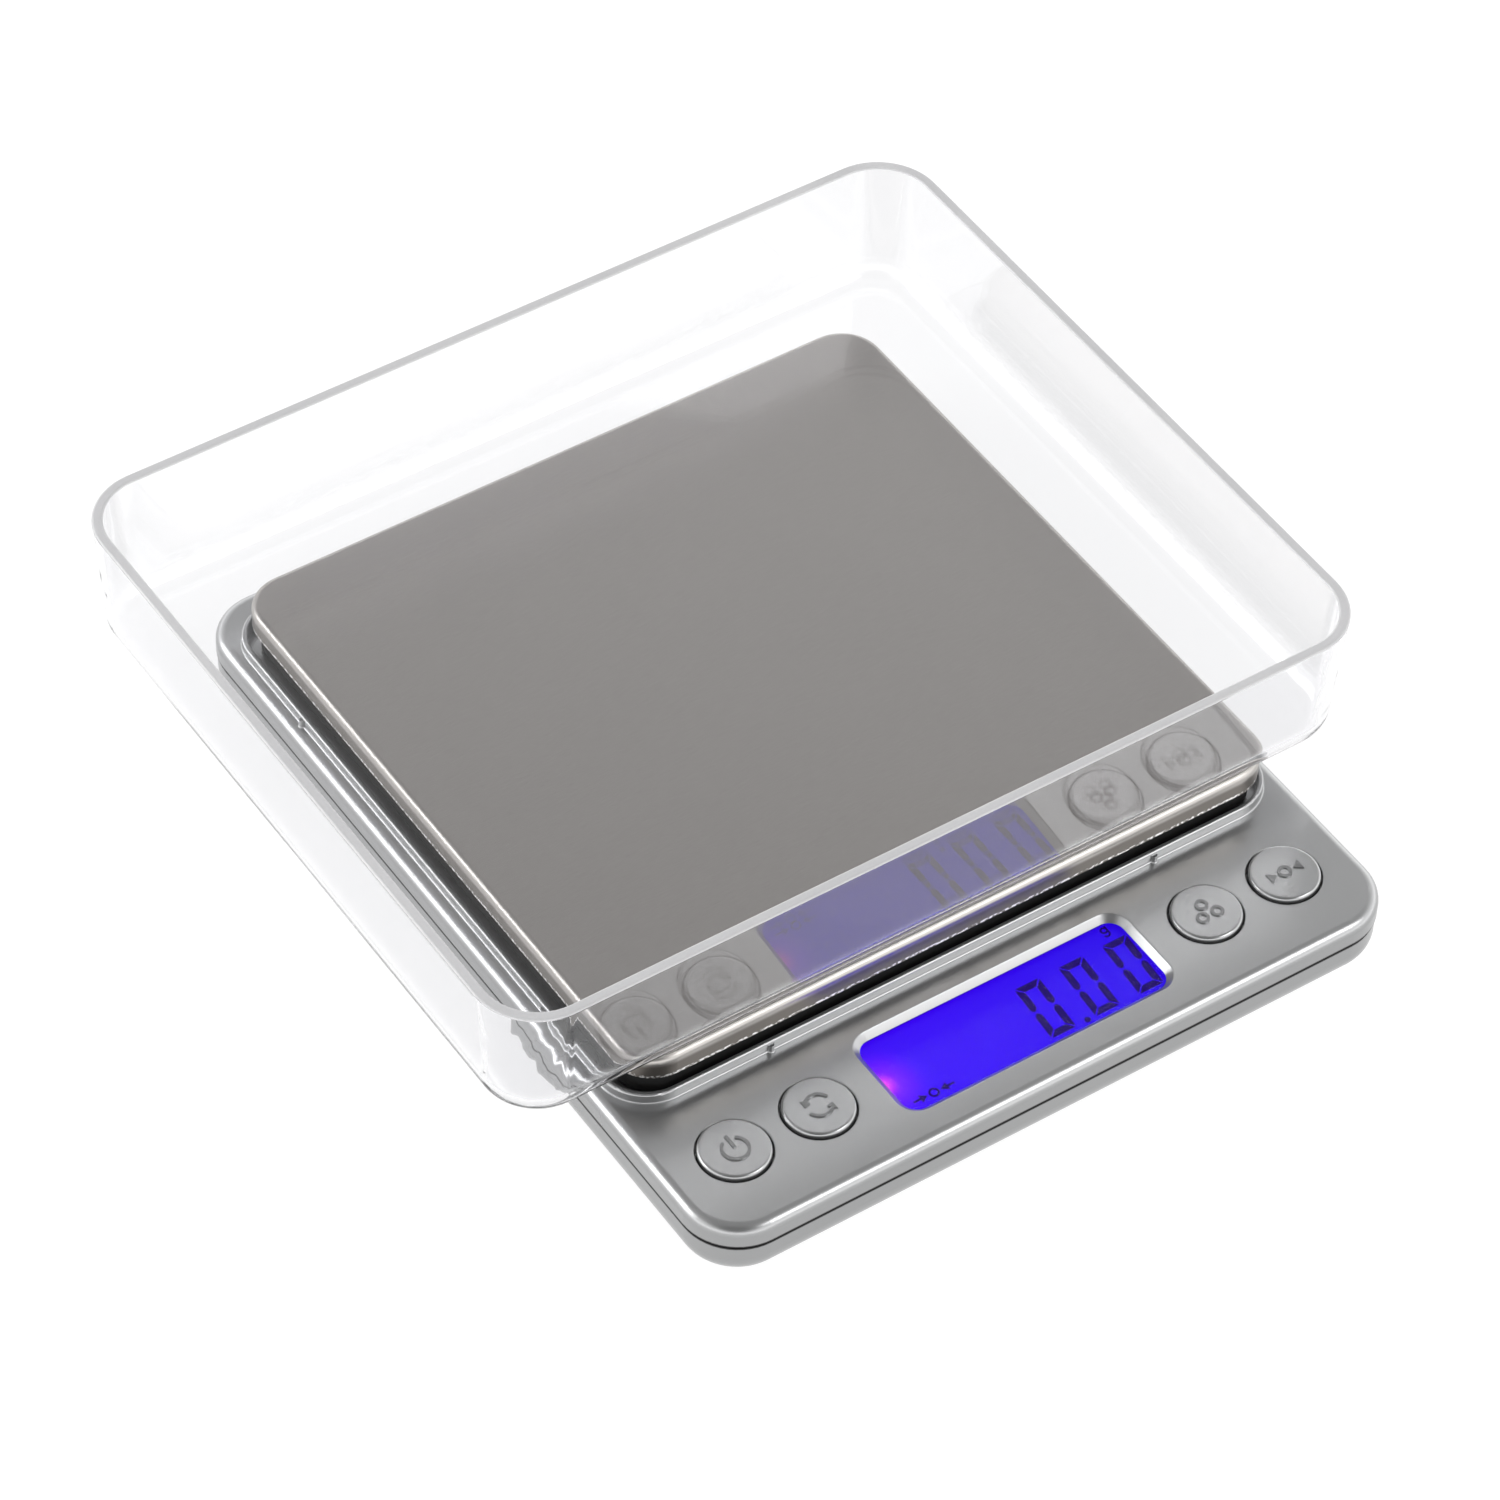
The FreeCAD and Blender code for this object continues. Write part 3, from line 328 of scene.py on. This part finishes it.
def satin_rim(name):
    """The tray's top edge, where the mould parts: fine satin that catches the light."""
    f = Finish(name)
    at = f.place()
    grain = f.noise(f.stretched(at, (1.0, 1.0, 0.2)), 2200, 2)
    drift = f.noise(at, 45, 2)
    return f.done(f.surface(
        Base_Color=f.blend(drift * 0.7 + grain * 0.3, colour(0.56, 0.56, 0.575),
                           colour(0.74, 0.735, 0.74)),
        Roughness=grain * 0.2 + 0.24,
        IOR=1.5,
        Transmission_Weight=0.2,
        Normal=f.relief(grain, 0.004 * MM, 0.5)))


GLOW_REACH = 7.5 * MM
HOT_SPOT_REACH = 2.6 * MM


def lit_display(name):
    """Blue backlight behind the liquid crystal, with the lamp's hot spot at its left end."""
    low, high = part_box("display_glass")
    f = Finish(name)
    at = f.place()
    x, z = f.axis(at, "X"), f.axis(at, "Z")
    lamp_end = Vector((low.x + HOT_SPOT_REACH, (low.y + high.y) / 2 - 0.2 * MM, high.z))
    far = f.distance(at, lamp_end)
    along = x.ramp(low.x, high.x)
    blue = f.blend(along, colour(0.034, 0.0, 0.76), colour(0.016, 0.0, 0.64))
    haze = f.noise(at, 900, 2)
    blue = f.blend(haze * 0.12, blue, colour(0.02, 0.0, 0.55))
    violet = f.blend(far.ramp(0.0, GLOW_REACH, 1, 0) ** 1.6, blue, colour(0.24, 0.01, 0.98))
    glow = f.blend(far.ramp(0.0, HOT_SPOT_REACH, 1, 0) ** 1.4, violet, colour(1.0, 0.09, 0.72))
    lit = f.blend(z > (low.z + high.z) / 2, colour(0.02, 0.0, 0.3), glow)
    return f.done(f.surface(
        Base_Color=colour(0.012, 0.0, 0.28),
        Roughness=0.35,
        Specular_IOR_Level=0.05,
        Emission_Color=lit,
        Emission_Strength=1.0))


def switched_segments(name):
    """Liquid crystal that blocks the backlight: dark blue, and denser in its middle."""
    f = Finish(name)
    haze = f.noise(f.place(), 1600, 2)
    dark = f.blend(haze, colour(0.006, 0.0, 0.085), colour(0.012, 0.0, 0.15))
    return f.done(f.surface(
        Base_Color=colour(0.002, 0.0, 0.02),
        Roughness=0.4,
        Specular_IOR_Level=0.05,
        Emission_Color=dark,
        Emission_Strength=1.0))


def moulded(name, low, high, roughness=0.5, texture=0.00002, per_metre=2600, **more):
    """Moulded plastic or rubber with a fine spark-eroded texture and a slow drift of tone."""
    f = Finish(name)
    at = f.place()
    pits = f.noise(at, per_metre, 3, 0.6)
    drift = f.noise(at, 60, 2)
    return f.done(f.surface(
        Base_Color=f.blend(drift * 0.6 + pits * 0.4, low, high),
        Roughness=pits * 0.16 + (roughness - 0.08),
        Normal=f.relief(pits, texture, 0.6),
        **more))


def metal(name, low, high, roughness=0.3, lay=(1.0, 1.0, 1.0), per_metre=900, relief=0.00001):
    """Bare or plated metal with tool marks along one way."""
    f = Finish(name)
    at = f.place()
    marks = f.noise(f.stretched(at, lay), per_metre, 3, 0.6)
    stain = f.noise(at, 140, 3)
    return f.done(f.surface(
        Base_Color=f.blend(marks * 0.5 + stain * 0.5, low, high),
        Metallic=1.0,
        Roughness=marks * 0.16 + stain * 0.1 + (roughness - 0.12),
        Normal=f.relief(marks, relief, 0.5)))


def solder_mask(name, top_z):
    """Green board: copper tracks under the mask, and bare glass cloth at the cut edge."""
    f = Finish(name)
    at = f.place()
    y, z = f.axis(at, "Y"), f.axis(at, "Z")
    pitch = 1.27 * MM
    lane = (y / pitch).fraction()
    wander = f.noise(f.stretched(at, (1.0, 0.0, 0.0)), 240, 0)
    track = (lane - 0.5).size() < 0.16
    runs = track * (wander > 0.47)
    weave = f.noise(f.stretched(at, (1.0, 1.0, 0.2)), 2400, 1)
    mask = f.blend(runs, colour(0.008, 0.085, 0.035), colour(0.02, 0.17, 0.07))
    mask = f.blend(weave * 0.25, mask, colour(0.02, 0.11, 0.05))
    inside = (z < top_z - 0.05 * MM) * (z > top_z - 1.15 * MM)
    cloth = f.blend(weave, colour(0.35, 0.33, 0.18), colour(0.48, 0.46, 0.27))
    return f.done(f.surface(
        Base_Color=f.blend(inside, mask, cloth),
        Roughness=inside * 0.4 + 0.25,
        Coat_Weight=(1 - inside) * 0.5,
        Normal=f.relief(runs * 0.6 + weave * 0.15, 0.00003, 0.6)))


def striped_rubber(name):
    """Contact strip: carbon layers between insulating ones, across its length."""
    f = Finish(name)
    at = f.place()
    x = f.axis(at, "X")
    pitch = 0.18 * MM
    layer = ((x / pitch).fraction() - 0.5).size() < 0.24
    grain = f.noise(at, 3000, 2)
    strip = f.blend(layer, colour(0.75, 0.35, 0.4), colour(0.02, 0.02, 0.02))
    return f.done(f.surface(
        Base_Color=f.blend(grain * 0.2, strip, colour(0.2, 0.1, 0.12)),
        Roughness=grain * 0.1 + 0.5))


def battery_jacket(name):
    """Plain slate shrink sleeve, with bare steel at both caps."""
    f = Finish(name)
    at = f.place()
    x = f.axis(at, "X")
    low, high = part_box("battery_front")
    along = (x - low.x) / (high.x - low.x)
    cap = (along - 0.5).size() > 0.475
    scuff = f.noise(at, 700, 3)
    sleeve = f.blend(scuff, colour(0.05, 0.075, 0.11), colour(0.085, 0.115, 0.155))
    return f.done(f.surface(
        Base_Color=f.blend(cap, sleeve, grey(0.6)),
        Metallic=cap * 0.95,
        Roughness=scuff * 0.1 + 0.24,
        Normal=f.relief(scuff, 0.00001, 0.4)))


WIRE_LANE = 1.4 * MM


def wire_colours(name):
    """Fine stranded leads: sleeves told apart by the place they run in."""
    f = Finish(name)
    at = f.place()
    x = f.axis(at, "X")
    lane = (x / WIRE_LANE).floor()
    pick = f.node("ShaderNodeTexWhiteNoise", {"noise_dimensions": "1D"}, {"W": lane}, "Value")
    sleeve = f.node("ShaderNodeValToRGB", {"stops": [
        (0.0, colour(0.55, 0.02, 0.015)), (0.34, colour(0.015, 0.015, 0.015)),
        (0.62, colour(0.75, 0.73, 0.68)), (0.86, colour(0.02, 0.22, 0.05))]}, {0: pick})
    sheen = f.noise(at, 1800, 2)
    return f.done(f.surface(
        Base_Color=f.blend(sheen * 0.15, sleeve, grey(0.2)),
        Roughness=sheen * 0.1 + 0.35,
        Normal=f.relief(sheen, 0.00001, 0.5)))


def foam_tape(name):
    """Closed-cell mounting foam."""
    f = Finish(name)
    at = f.place()
    bubbles = f.cells(at, 4200)
    tone = f.blend(bubbles.ramp(0.0, 0.5), grey(0.3), grey(0.62))
    return f.done(f.surface(Base_Color=tone, Roughness=bubbles * 0.2 + 0.7,
                            Normal=f.relief(bubbles, 0.00006, 0.8)))


def make_finishes():
    """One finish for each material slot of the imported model."""
    board_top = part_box("circuit_board")[1].z
    mark_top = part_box("power_button")[1].z
    return {
        "silver_shell": silver_paint("silver_paint", shell=True),
        "button_silver": silver_paint("button_paint", 0.24, 0.42, mark_z=mark_top - MARK_DEPTH),
        "stainless_sheet": brushed_stainless("brushed_stainless"),
        "black_plastic": moulded("black_abs", grey(0.006), grey(0.014), 0.42),
        "tray_clear": clear_styrene("clear_styrene", 1.5),
        "lens_clear": clear_styrene("lens_acrylic", 1.16, 0.001, grey(0.98)),
        "display_blue": lit_display("lit_display"),
        "guide_clear": moulded("light_guide_milk", grey(0.62), grey(0.75), 0.3,
                               Transmission_Weight=0.5),
        "lamp_blue": moulded("lamp_resin", colour(0.05, 0.08, 0.8), colour(0.1, 0.2, 1.0), 0.3),
        "white_plastic": moulded("white_abs", grey(0.62, 0.02), grey(0.72, 0.01), 0.45),
        "zebra_rubber": striped_rubber("zebra_rubber"),
        "board_green": solder_mask("solder_mask", board_top),
        "black_resin": moulded("black_resin", grey(0.008), grey(0.02), 0.35, 0.00004, 1200),
        "switch_black": moulded("switch_nylon", grey(0.01), grey(0.02), 0.5),
        "plunger_white": moulded("plunger_acetal", grey(0.6), grey(0.7), 0.4),
        "feet_rubber": moulded("foot_rubber", grey(0.01), grey(0.022), 0.72, 0.00004, 1800),
        "zinc_screws": metal("zinc_screw", grey(0.5, -0.02), grey(0.68, 0.01), 0.3),
        "zinc_plate": metal("zinc_plate", grey(0.45, 0.01), grey(0.62, 0.03), 0.34,
                            (1.0, 20.0, 20.0), 300),
        "cell_aluminium": metal("milled_aluminium", grey(0.62), grey(0.78), 0.3,
                                (24.0, 1.0, 24.0), 260),
        "gauge_sealant": moulded("gauge_silicone", grey(0.55, 0.02), grey(0.66, 0.03), 0.3,
                                 0.00008, 500),
        "foam_tape": foam_tape("foam_tape"),
        "nickel_strip": metal("nickel_strip", grey(0.5, 0.04), grey(0.66, 0.05), 0.24,
                              (1.0, 24.0, 1.0), 320),
        "cell_jacket": battery_jacket("battery_jacket"),
        "wire_sheath": wire_colours("wire_colours"),
    }


def dress_cad_nodes(finishes):
    """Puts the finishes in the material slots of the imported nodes."""
    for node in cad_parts.values():
        for slot in node.material_slots:
            slot.material = finishes[slot.material.name]


# ---------------------------------------------------------------- mesh kit
def plain_piece(name, mesh, finish=None):
    """A mesh as an object in the scene, with its finish when it is given one."""
    piece = bpy.data.objects.new(name, mesh)
    bpy.context.scene.collection.objects.link(piece)
    if finish is not None:
        mesh.materials.append(finish)
    return piece


def add_prism(bm, outline, z0, z1):
    """A closed prism over an outline of (x, y) points that runs counterclockwise."""
    low = [bm.verts.new((x, y, z0)) for x, y in outline]
    high = [bm.verts.new((x, y, z1)) for x, y in outline]
    bm.faces.new(reversed(low))
    bm.faces.new(high)
    for i in range(len(outline)):
        j = (i + 1) % len(outline)
        bm.faces.new((low[i], low[j], high[j], high[i]))


def add_band(bm, path, width, z0, z1, closed=False):
    """A flat bar of even width along a path of (x, y) points."""
    points = [Vector(p) for p in path]
    count = len(points)
    left, right = [], []
    for i, point in enumerate(points):
        before = points[i - 1] if closed or i > 0 else point
        after = points[(i + 1) % count] if closed or i < count - 1 else point
        way = (after - before).normalized()
        side = Vector((-way.y, way.x)) * width / 2
        left.append(point + side)
        right.append(point - side)
    rows = [[bm.verts.new((p.x, p.y, z)) for p in side]
            for side, z in ((right, z0), (left, z0), (left, z1), (right, z1))]
    last = count if closed else count - 1
    for i in range(last):
        j = (i + 1) % count
        for a, b in ((0, 1), (1, 2), (2, 3), (3, 0)):
            bm.faces.new((rows[a][i], rows[b][i], rows[b][j], rows[a][j]))
    if not closed:
        bm.faces.new([rows[k][0] for k in (3, 2, 1, 0)])
        bm.faces.new([rows[k][-1] for k in (0, 1, 2, 3)])


def arc(cx, cy, radius, start, sweep, count):
    """Points on an arc, with its angles in degrees."""
    return [(cx + radius * cos(radians(start + sweep * i / count)),
             cy + radius * sin(radians(start + sweep * i / count))) for i in range(count + 1)]


def mesh_of(bm, name):
    """Ends a bmesh: normals outwards, then a mesh."""
    bmesh.ops.recalc_face_normals(bm, faces=bm.faces)
    mesh = bpy.data.meshes.new(name)
    bm.to_mesh(mesh)
    bm.free()
    return mesh


# ---------------------------------------------------------------- geometry nodes kit
def new_tree(name, inputs):
    """An empty Geometry Nodes tree with a Geometry input, the named inputs and a Finish."""
    tree = bpy.data.node_groups.new(name, "GeometryNodeTree")
    tree.interface.new_socket("Geometry", in_out="INPUT", socket_type="NodeSocketGeometry")
    for label, kind in inputs:
        tree.interface.new_socket(label, in_out="INPUT", socket_type=kind)
    tree.interface.new_socket("Finish", in_out="INPUT", socket_type="NodeSocketMaterial")
    tree.interface.new_socket("Geometry", in_out="OUTPUT", socket_type="NodeSocketGeometry")
    return tree


def add_step(tree, kind, settings=None, inputs=None):
    """A node with its settings and with values or sockets on its inputs."""
    made = tree.nodes.new(kind)
    for name, value in (settings or {}).items():
        setattr(made, name, value)
    for name, value in (inputs or {}).items():
        socket = find_socket(made.inputs, name)
        if isinstance(value, bpy.types.NodeSocket):
            tree.links.new(value, socket)
        else:
            socket.default_value = value
    return made


def end_tree(tree, given, geometry):
    """Realize Instances, Set Material and the output."""
    real = add_step(tree, "GeometryNodeRealizeInstances", None, {"Geometry": geometry})
    dressed = add_step(tree, "GeometryNodeSetMaterial", None,
                       {"Geometry": real.outputs[0], "Material": given.outputs["Finish"]})
    add_step(tree, "NodeGroupOutput", None, {"Geometry": dressed.outputs[0]})


def row_tree():
    """Copies of the given mesh in a straight row."""
    tree = new_tree("row_of_copies", [("Count", "NodeSocketInt"), ("Step", "NodeSocketVector")])
    given = add_step(tree, "NodeGroupInput")
    line = add_step(tree, "GeometryNodeMeshLine", {"mode": "OFFSET", "count_mode": "TOTAL"},
                    {"Count": given.outputs["Count"], "Offset": given.outputs["Step"]})
    copies = add_step(tree, "GeometryNodeInstanceOnPoints", None,
                      {"Points": line.outputs[0], "Instance": given.outputs["Geometry"]})
    end_tree(tree, given, copies.outputs[0])
    return tree


def grow(piece, tree, finish, **values):
    """Runs a tree on a piece and leaves its result as a plain mesh."""
    modifier = piece.modifiers.new(tree.name, "NODES")
    modifier.node_group = tree
    for item in tree.interface.items_tree:
        if item.in_out == "INPUT" and item.name in values:
            modifier[item.identifier] = values[item.name]
        elif item.in_out == "INPUT" and item.name == "Finish":
            modifier[item.identifier] = finish
    return settle(piece)


def settle(piece):
    """Leaves a piece as the plain mesh that its modifiers make."""
    graph = bpy.context.evaluated_depsgraph_get()
    mesh = bpy.data.meshes.new_from_object(piece.evaluated_get(graph), depsgraph=graph)
    piece.modifiers.clear()
    piece.data = mesh
    return piece


# ---------------------------------------------------------------- display
DIGIT_WIDTH = 3.8 * MM
DIGIT_HEIGHT = 9.1 * MM
DIGIT_PITCH = 6.87 * MM
DIGIT_SLANT = 0.65 / 9.1
STROKE = 0.98 * MM
SEGMENT_GAP = 0.17 * MM
SEGMENT_HEIGHT = 0.05 * MM
FIRST_DIGIT_X = 4.48 * MM
DIGITS_DROP = 0.65 * MM


def display_middle():
    """The middle of the display glass's upper face."""
    low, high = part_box("display_glass")
    return Vector(((low.x + high.x) / 2, (low.y + high.y) / 2, high.z))


def zero_segments():
    """The six lit segments of a nought, as outlines about its middle."""
    w, h, t, g = DIGIT_WIDTH / 2, DIGIT_HEIGHT / 2, STROKE, SEGMENT_GAP
    tip = t * 0.62
    top = [(-w + g, h), (-w + t + g * 0.3, h - t), (w - t - g * 0.3, h - t), (w - g, h)]
    side = [(w, h - g * 1.2), (w - t, h - t - g * 1.2), (w - t, g + tip), (w - t * 0.62, g * 1.3),
            (w - t * 0.3, g * 1.3), (w, g + tip * 0.8)]
    outlines = []
    for sx, sy, outline in ((1, 1, top), (1, -1, top), (1, 1, side), (1, -1, side), (-1, 1, side),
                            (-1, -1, side)):
        points = [(x * sx, y * sy) for x, y in outline]
        turned = sum(points[i - 1][0] * points[i][1] - points[i][0] * points[i - 1][1]
                     for i in range(len(points)))
        outlines.append(points if turned > 0 else points[::-1])
    return outlines


def lean(points, centre_x, centre_y):
    """Points about a centre, slanted as the digits are."""
    return [(centre_x + x + y * DIGIT_SLANT, centre_y + y) for x, y in points]


def build_digits(row, finish):
    """Three noughts: one is drawn, and the row makes the others."""
    middle = display_middle()
    first_x = middle.x + FIRST_DIGIT_X
    centre_y = middle.y - DIGITS_DROP
    bm = bmesh.new()
    for outline in zero_segments():
        add_prism(bm, lean(outline, first_x, centre_y), middle.z, middle.z + SEGMENT_HEIGHT)
    piece = plain_piece("display_digits", mesh_of(bm, "display_digits"))
    grow(piece, row, finish, Count=3, Step=(DIGIT_PITCH, 0.0, 0.0))
    return piece


def build_symbols(finish):
    """The decimal point, the gram sign and the mark for nought, in millimetres about the middle."""
    middle = display_middle()
    z0, z1 = middle.z, middle.z + SEGMENT_HEIGHT
    bm = bmesh.new()

    def band(path, width, closed=False):
        add_band(bm, [(middle.x + x * MM, middle.y + y * MM) for x, y in path], width * MM,
                 z0, z1, closed)

    def patch(outline):
        add_prism(bm, [(middle.x + x * MM, middle.y + y * MM) for x, y in outline], z0, z1)

    def ring(x, y, radius):
        return arc(x, y, radius, 0, 345, 23)

    patch(ring(7.9, -5.1, 0.42))
    band(ring(18.45, 5.95, 0.42), 0.24, True)
    band([(18.87, 6.5), (18.9, 5.4)] + arc(18.42, 5.35, 0.46, -10, -140, 10), 0.24)
    nought_x, nought_y, line, head_half = -15.4, -4.45, 0.26, 0.62
    band(ring(nought_x, nought_y, 0.6), line, True)
    for way in (-1, 1):
        stem = nought_x + way * 3.1
        tip = nought_x + way * 1.05
        back = tip + way
        band([(stem, nought_y), (tip + way * 0.9, nought_y)], line)
        head = [(tip, nought_y), (back, nought_y + head_half), (back, nought_y - head_half)]
        patch(head if way < 0 else head[::-1])
    return plain_piece("display_symbols", mesh_of(bm, "display_symbols"), finish)


# ---------------------------------------------------------------- tray
AIR_UNDER_TRAY = 0.09 * MM
RIM_SATIN_DEPTH = 0.4 * MM


def build_clear_tray(finish, rim_finish):
    """The tray as one smooth shell, with a thin layer of air between its floor and the platform."""
    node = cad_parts["tray"]
    floor_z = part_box("tray")[0].z
    bm = bmesh.new()
    bm.from_mesh(node.data)
    bmesh.ops.remove_doubles(bm, verts=bm.verts, dist=0.001 * MM)
    for vertex in bm.verts:
        if vertex.co.z < floor_z + AIR_UNDER_TRAY:
            vertex.co.z = floor_z + AIR_UNDER_TRAY
    for face in bm.faces:
        face.smooth = True
    mesh = bpy.data.meshes.new("clear_tray")
    bm.to_mesh(mesh)
    bm.free()
    piece = plain_piece("clear_tray", mesh, finish)
    level = piece.modifiers.new("flat_faces_stay_flat", "WEIGHTED_NORMAL")
    level.weight = 100
    level.keep_sharp = True
    settle(piece)
    piece.data.materials.append(rim_finish)
    top_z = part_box("tray")[1].z
    for face in piece.data.polygons:
        if face.center.z > top_z - RIM_SATIN_DEPTH and face.normal.z > 0.3:
            face.material_index = 1
    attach(piece, "tray_body")
    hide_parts("tray")


# ---------------------------------------------------------------- solder joints
SOLDER_R = 0.3 * MM
SOLDER_HEIGHT = 0.3 * MM
SOLDER_SIDES = 14
SOLDER_PROFILE = ((0.0, 1.0), (0.22, 0.72), (0.6, 0.5), (0.9, 0.28))


def build_solder(row, finish, name, first, count, step):
    """A row of solder joints: low domes with a flared skirt."""
    bm = bmesh.new()
    foot = Vector(first)
    rings = []
    for level, spread in SOLDER_PROFILE:
        radius = SOLDER_R * spread
        turns = [tau * i / SOLDER_SIDES for i in range(SOLDER_SIDES)]
        rings.append([bm.verts.new(foot + Vector((radius * cos(turn), radius * sin(turn),
                                                  SOLDER_HEIGHT * level))) for turn in turns])
    tip = bm.verts.new(foot + UP * SOLDER_HEIGHT)
    for low, high in zip(rings, rings[1:]):
        for i in range(SOLDER_SIDES):
            j = (i + 1) % SOLDER_SIDES
            bm.faces.new((low[i], low[j], high[j], high[i]))
    for i in range(SOLDER_SIDES):
        bm.faces.new((rings[-1][i], rings[-1][(i + 1) % SOLDER_SIDES], tip))
    bm.faces.new(rings[0][::-1])
    for face in bm.faces:
        face.smooth = True
    piece = plain_piece(name, mesh_of(bm, name))
    grow(piece, row, finish, Count=count, Step=step)
    return piece


# ---------------------------------------------------------------- stage
LOOK = Vector((0.395251, 0.555370, -0.731670))
CAMERA_RIGHT = Vector((0.831055, -0.555522, 0.027274))
CAMERA_PLACE = Vector((-0.318025, -0.444650, 0.599751))
FLOOR_R = 6.0
FLOOR_GLOW = 0.86
LIGHT_BOUNCES = 28


def build_floor():
    """A round white floor that glows a little, and is clear when it is seen from below."""
    f = Finish("white_floor")
    at = f.place()
    speck = f.noise(at, 8, 2)
    tone = f.blend(speck, grey(0.24), grey(0.25))
    sweep = f.surface(Base_Color=tone, Roughness=0.9, Specular_IOR_Level=0.0,
                      Emission_Color=grey(1.0), Emission_Strength=FLOOR_GLOW)
    from_below = f.node("ShaderNodeNewGeometry", output="Backfacing")
    clear = f.node("ShaderNodeBsdfTransparent")
    material = f.done(f.node("ShaderNodeMixShader", None, {0: from_below, 1: sweep, 2: clear}))
    bm = bmesh.new()
    bm.faces.new([bm.verts.new((x, y, 0.0)) for x, y in arc(0, 0, FLOOR_R, 0, 352.5, 47)])
    floor = plain_piece("floor", mesh_of(bm, "floor"), material)


def build_light():
    """Soft studio light: a pale room that is dim overhead and behind the camera, and two soft boxes."""
    f = Finish("studio", world=True)
    way = f.node("ShaderNodeTexCoord", output="Generated")
    z = f.axis(way, "Z")
    room = f.node("ShaderNodeValToRGB", {"stops": [
        (0.0, grey(1.9)), (0.12, grey(2.2)), (0.4, grey(1.35)), (0.6, grey(1.05)),
        (0.7, grey(0.72)), (0.75, grey(0.49)), (0.83, grey(0.46)), (1.0, grey(0.3))]}, {0: z})
    toward_camera = f.node("ShaderNodeVectorMath", {"operation": "DOT_PRODUCT"},
                           {0: way, 1: tuple(-LOOK)}, "Value")
    behind = toward_camera.ramp(0.8, 0.97)
    room = f.blend(behind, room, grey(0.12))
    light = f.node("ShaderNodeBackground", None, {"Color": room, "Strength": 1.0})
    bpy.context.scene.world = f.done(light, "ShaderNodeOutputWorld")
    soft_box("left_back_box", Vector((-0.73, 0.56, 0.42)), 0.8, (0.5, 0.35), 2.6)
    soft_box("right_front_box", Vector((0.42, -0.6, 0.68)), 0.9, (0.42, 0.3), 1.7)


def soft_box(name, way, distance, size, power):
    """A rectangular lamp that faces the middle of the scale."""
    lamp = bpy.data.lights.new(name, "AREA")
    lamp.shape = "RECTANGLE"
    lamp.size, lamp.size_y = size
    lamp.energy = power
    holder = bpy.data.objects.new(name, lamp)
    holder.location = way.normalized() * distance
    holder.rotation_mode = "QUATERNION"
    holder.rotation_quaternion = (-way).to_track_quat("-Z", "Y")
    bpy.context.scene.collection.objects.link(holder)


def build_camera():
    """A long lens above the front left corner, with a slight roll."""
    view = bpy.data.cameras.new("camera")
    view.lens = 147.15
    view.sensor_width = 36.0
    camera = bpy.data.objects.new("camera", view)
    right = CAMERA_RIGHT.normalized()
    up = right.cross(LOOK).normalized()
    turn = Matrix((right, up, -LOOK.normalized())).transposed()
    camera.matrix_world = Matrix.Translation(CAMERA_PLACE) @ turn.to_4x4()
    bpy.context.scene.collection.objects.link(camera)
    bpy.context.scene.camera = camera
    bpy.context.scene.view_settings.view_transform = "Standard"
    bounces = bpy.context.scene.cycles
    bounces.max_bounces = LIGHT_BOUNCES
    bounces.transmission_bounces = LIGHT_BOUNCES
    bounces.glossy_bounces = LIGHT_BOUNCES


# ---------------------------------------------------------------- the scale
def main():
    finishes = make_finishes()
    dress_cad_nodes(finishes)
    build_clear_tray(finishes["tray_clear"], satin_rim("satin_rim"))
    row = row_tree()
    dark = switched_segments("switched_segments")
    for piece in (build_digits(row, dark), build_symbols(dark)):
        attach(piece, "base")
    solder = metal("solder", grey(0.6), grey(0.75), 0.25, per_metre=1200, relief=0.00002)
    board_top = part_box("circuit_board")[1].z
    for name, count in (("converter_chip", 8), ("memory_chip", 4)):
        low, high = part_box(name)
        pitch = (high.y - low.y) / count
        for side, x in (("left", low.x), ("right", high.x)):
            piece = build_solder(row, solder, name + "_solder_" + side,
                                 (x, low.y + pitch / 2, board_top), count, (0.0, pitch, 0.0))
            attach(piece, "base")
    build_floor()
    build_light()
    build_camera()


main()
